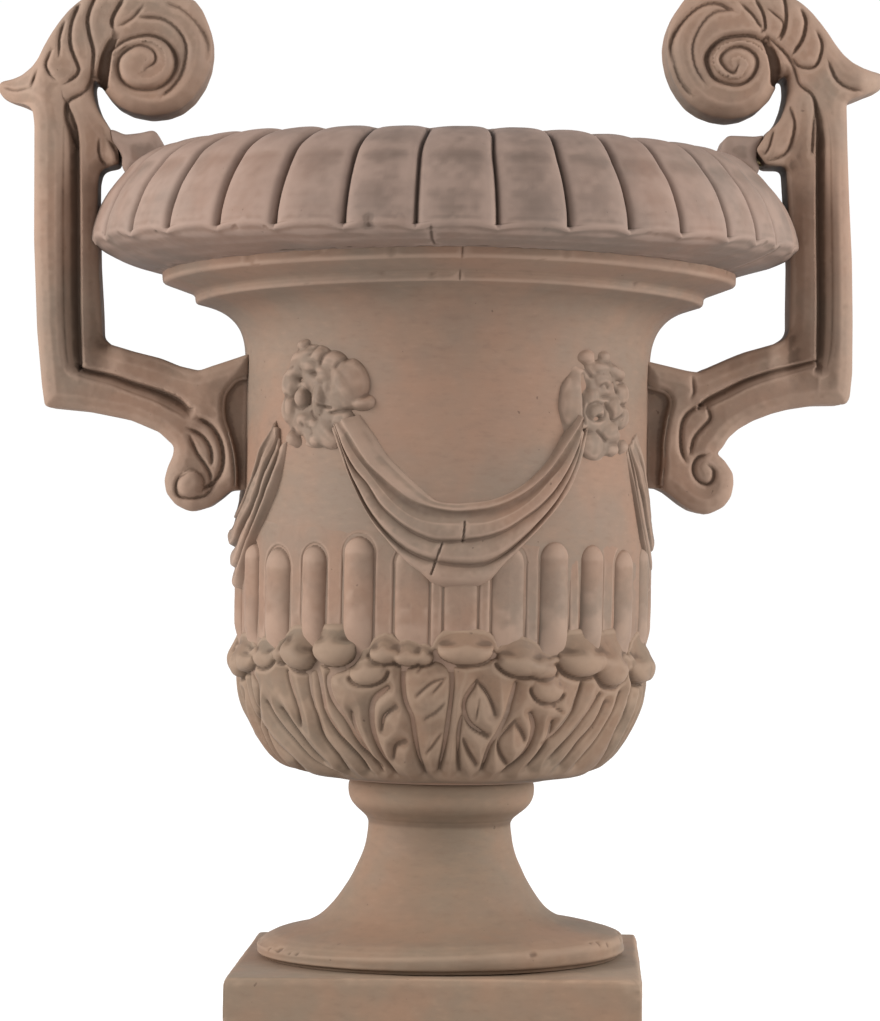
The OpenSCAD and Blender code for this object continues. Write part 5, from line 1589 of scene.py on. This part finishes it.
# ---------------------------------------------------------------------------
# Stage: a wide pale floor, an even bright surround and soft lights
# ---------------------------------------------------------------------------
n = 96
ring = [(0.0, 0.0, 0.0)]
rads = [1.2, 3.5, 12.0, 60.0]
for r in rads:
    for i in range(n):
        a = 2 * math.pi * i / n
        ring.append((r * math.cos(a), r * math.sin(a), 0.0))
fl = [(0, 1 + i, 1 + (i + 1) % n) for i in range(n)]
for k in range(len(rads) - 1):
    b0, b1 = 1 + k * n, 1 + (k + 1) * n
    fl += [(b0 + i, b1 + i, b1 + (i + 1) % n, b0 + (i + 1) % n) for i in range(n)]
me = bpy.data.meshes.new("floor")
me.from_pydata(ring, [], fl)
floor = bpy.data.objects.new("floor", me)
bpy.context.scene.collection.objects.link(floor)
m, nt = new_material("floor_white")
bs = node(nt, "ShaderNodeBsdfPrincipled")
bs.inputs["Base Color"].default_value = (0.22, 0.22, 0.22, 1)
bs.inputs["Roughness"].default_value = 0.95
bs.inputs["Specular IOR Level"].default_value = 0.1
bs.inputs["Emission Color"].default_value = (1, 1, 1, 1)
bs.inputs["Emission Strength"].default_value = 0.86
out = node(nt, "ShaderNodeOutputMaterial")
nt.links.new(bs.outputs["BSDF"], out.inputs["Surface"])
me.materials.append(m)

world = bpy.data.worlds.new("surround")
world.use_nodes = True
wt = world.node_tree
bg = wt.nodes["Background"]
# bright all round, dimmer overhead
wtc = node(wt, "ShaderNodeTexCoord")
sep = node(wt, "ShaderNodeSeparateXYZ")
wt.links.new(wtc.outputs["Generated"], sep.inputs["Vector"])
grad = ramp(wt, sep.outputs["Z"], 0.30, 0.85, 0.0, 1.0)
wt.links.new(mix(wt, grad, (1.02, 1.02, 1.02), (0.74, 0.77, 0.82)), bg.inputs["Color"])
bg.inputs["Strength"].default_value = 1.0
bpy.context.scene.world = world


def area_light(name, loc, target, size, power, colour=(1, 1, 1)):
    L = bpy.data.lights.new(name, "AREA")
    L.shape = "RECTANGLE"
    L.size, L.size_y = size
    L.energy = power
    L.color = colour
    o = bpy.data.objects.new(name, L)
    o.location = loc
    o.rotation_euler = (Vector(target) - Vector(loc)).to_track_quat("-Z", "Y").to_euler()
    bpy.context.scene.collection.objects.link(o)
    return o


area_light("box_left", (-3.35, -1.05, 1.65), (0, 0, 0.5), (1.8, 2.2), 190.0, (1.0, 0.985, 0.965))
area_light("box_right", (3.35, -0.95, 1.55), (0, 0, 0.5), (1.8, 2.2), 164.0, (1.0, 0.985, 0.965))

cam = bpy.data.cameras.new("camera")
cam.sensor_fit = "HORIZONTAL"
cam.sensor_width = 36.0
cam.lens = 36.0 * CAM_F / 880.0
cam.clip_end = 200.0
camera = bpy.data.objects.new("camera", cam)
bpy.context.scene.collection.objects.link(camera)
camera.location = (-CAM_D * SY * 0.001, -CAM_D * CY * 0.001, CAM_Z * 0.001)
pitch = math.atan((510.5 - 489.94) / CAM_F)
side = math.atan((444.38 - 440.0) / CAM_F)
direction = Euler((math.radians(90) - pitch, 0, -YAW + side), "XYZ").to_matrix()
roll = Euler((0, 0, ROLL), "XYZ").to_matrix()
camera.rotation_euler = (direction @ roll).to_euler()
bpy.context.scene.camera = camera
bpy.context.scene.view_settings.view_transform = "Standard"
bpy.context.scene.view_settings.look = "None"
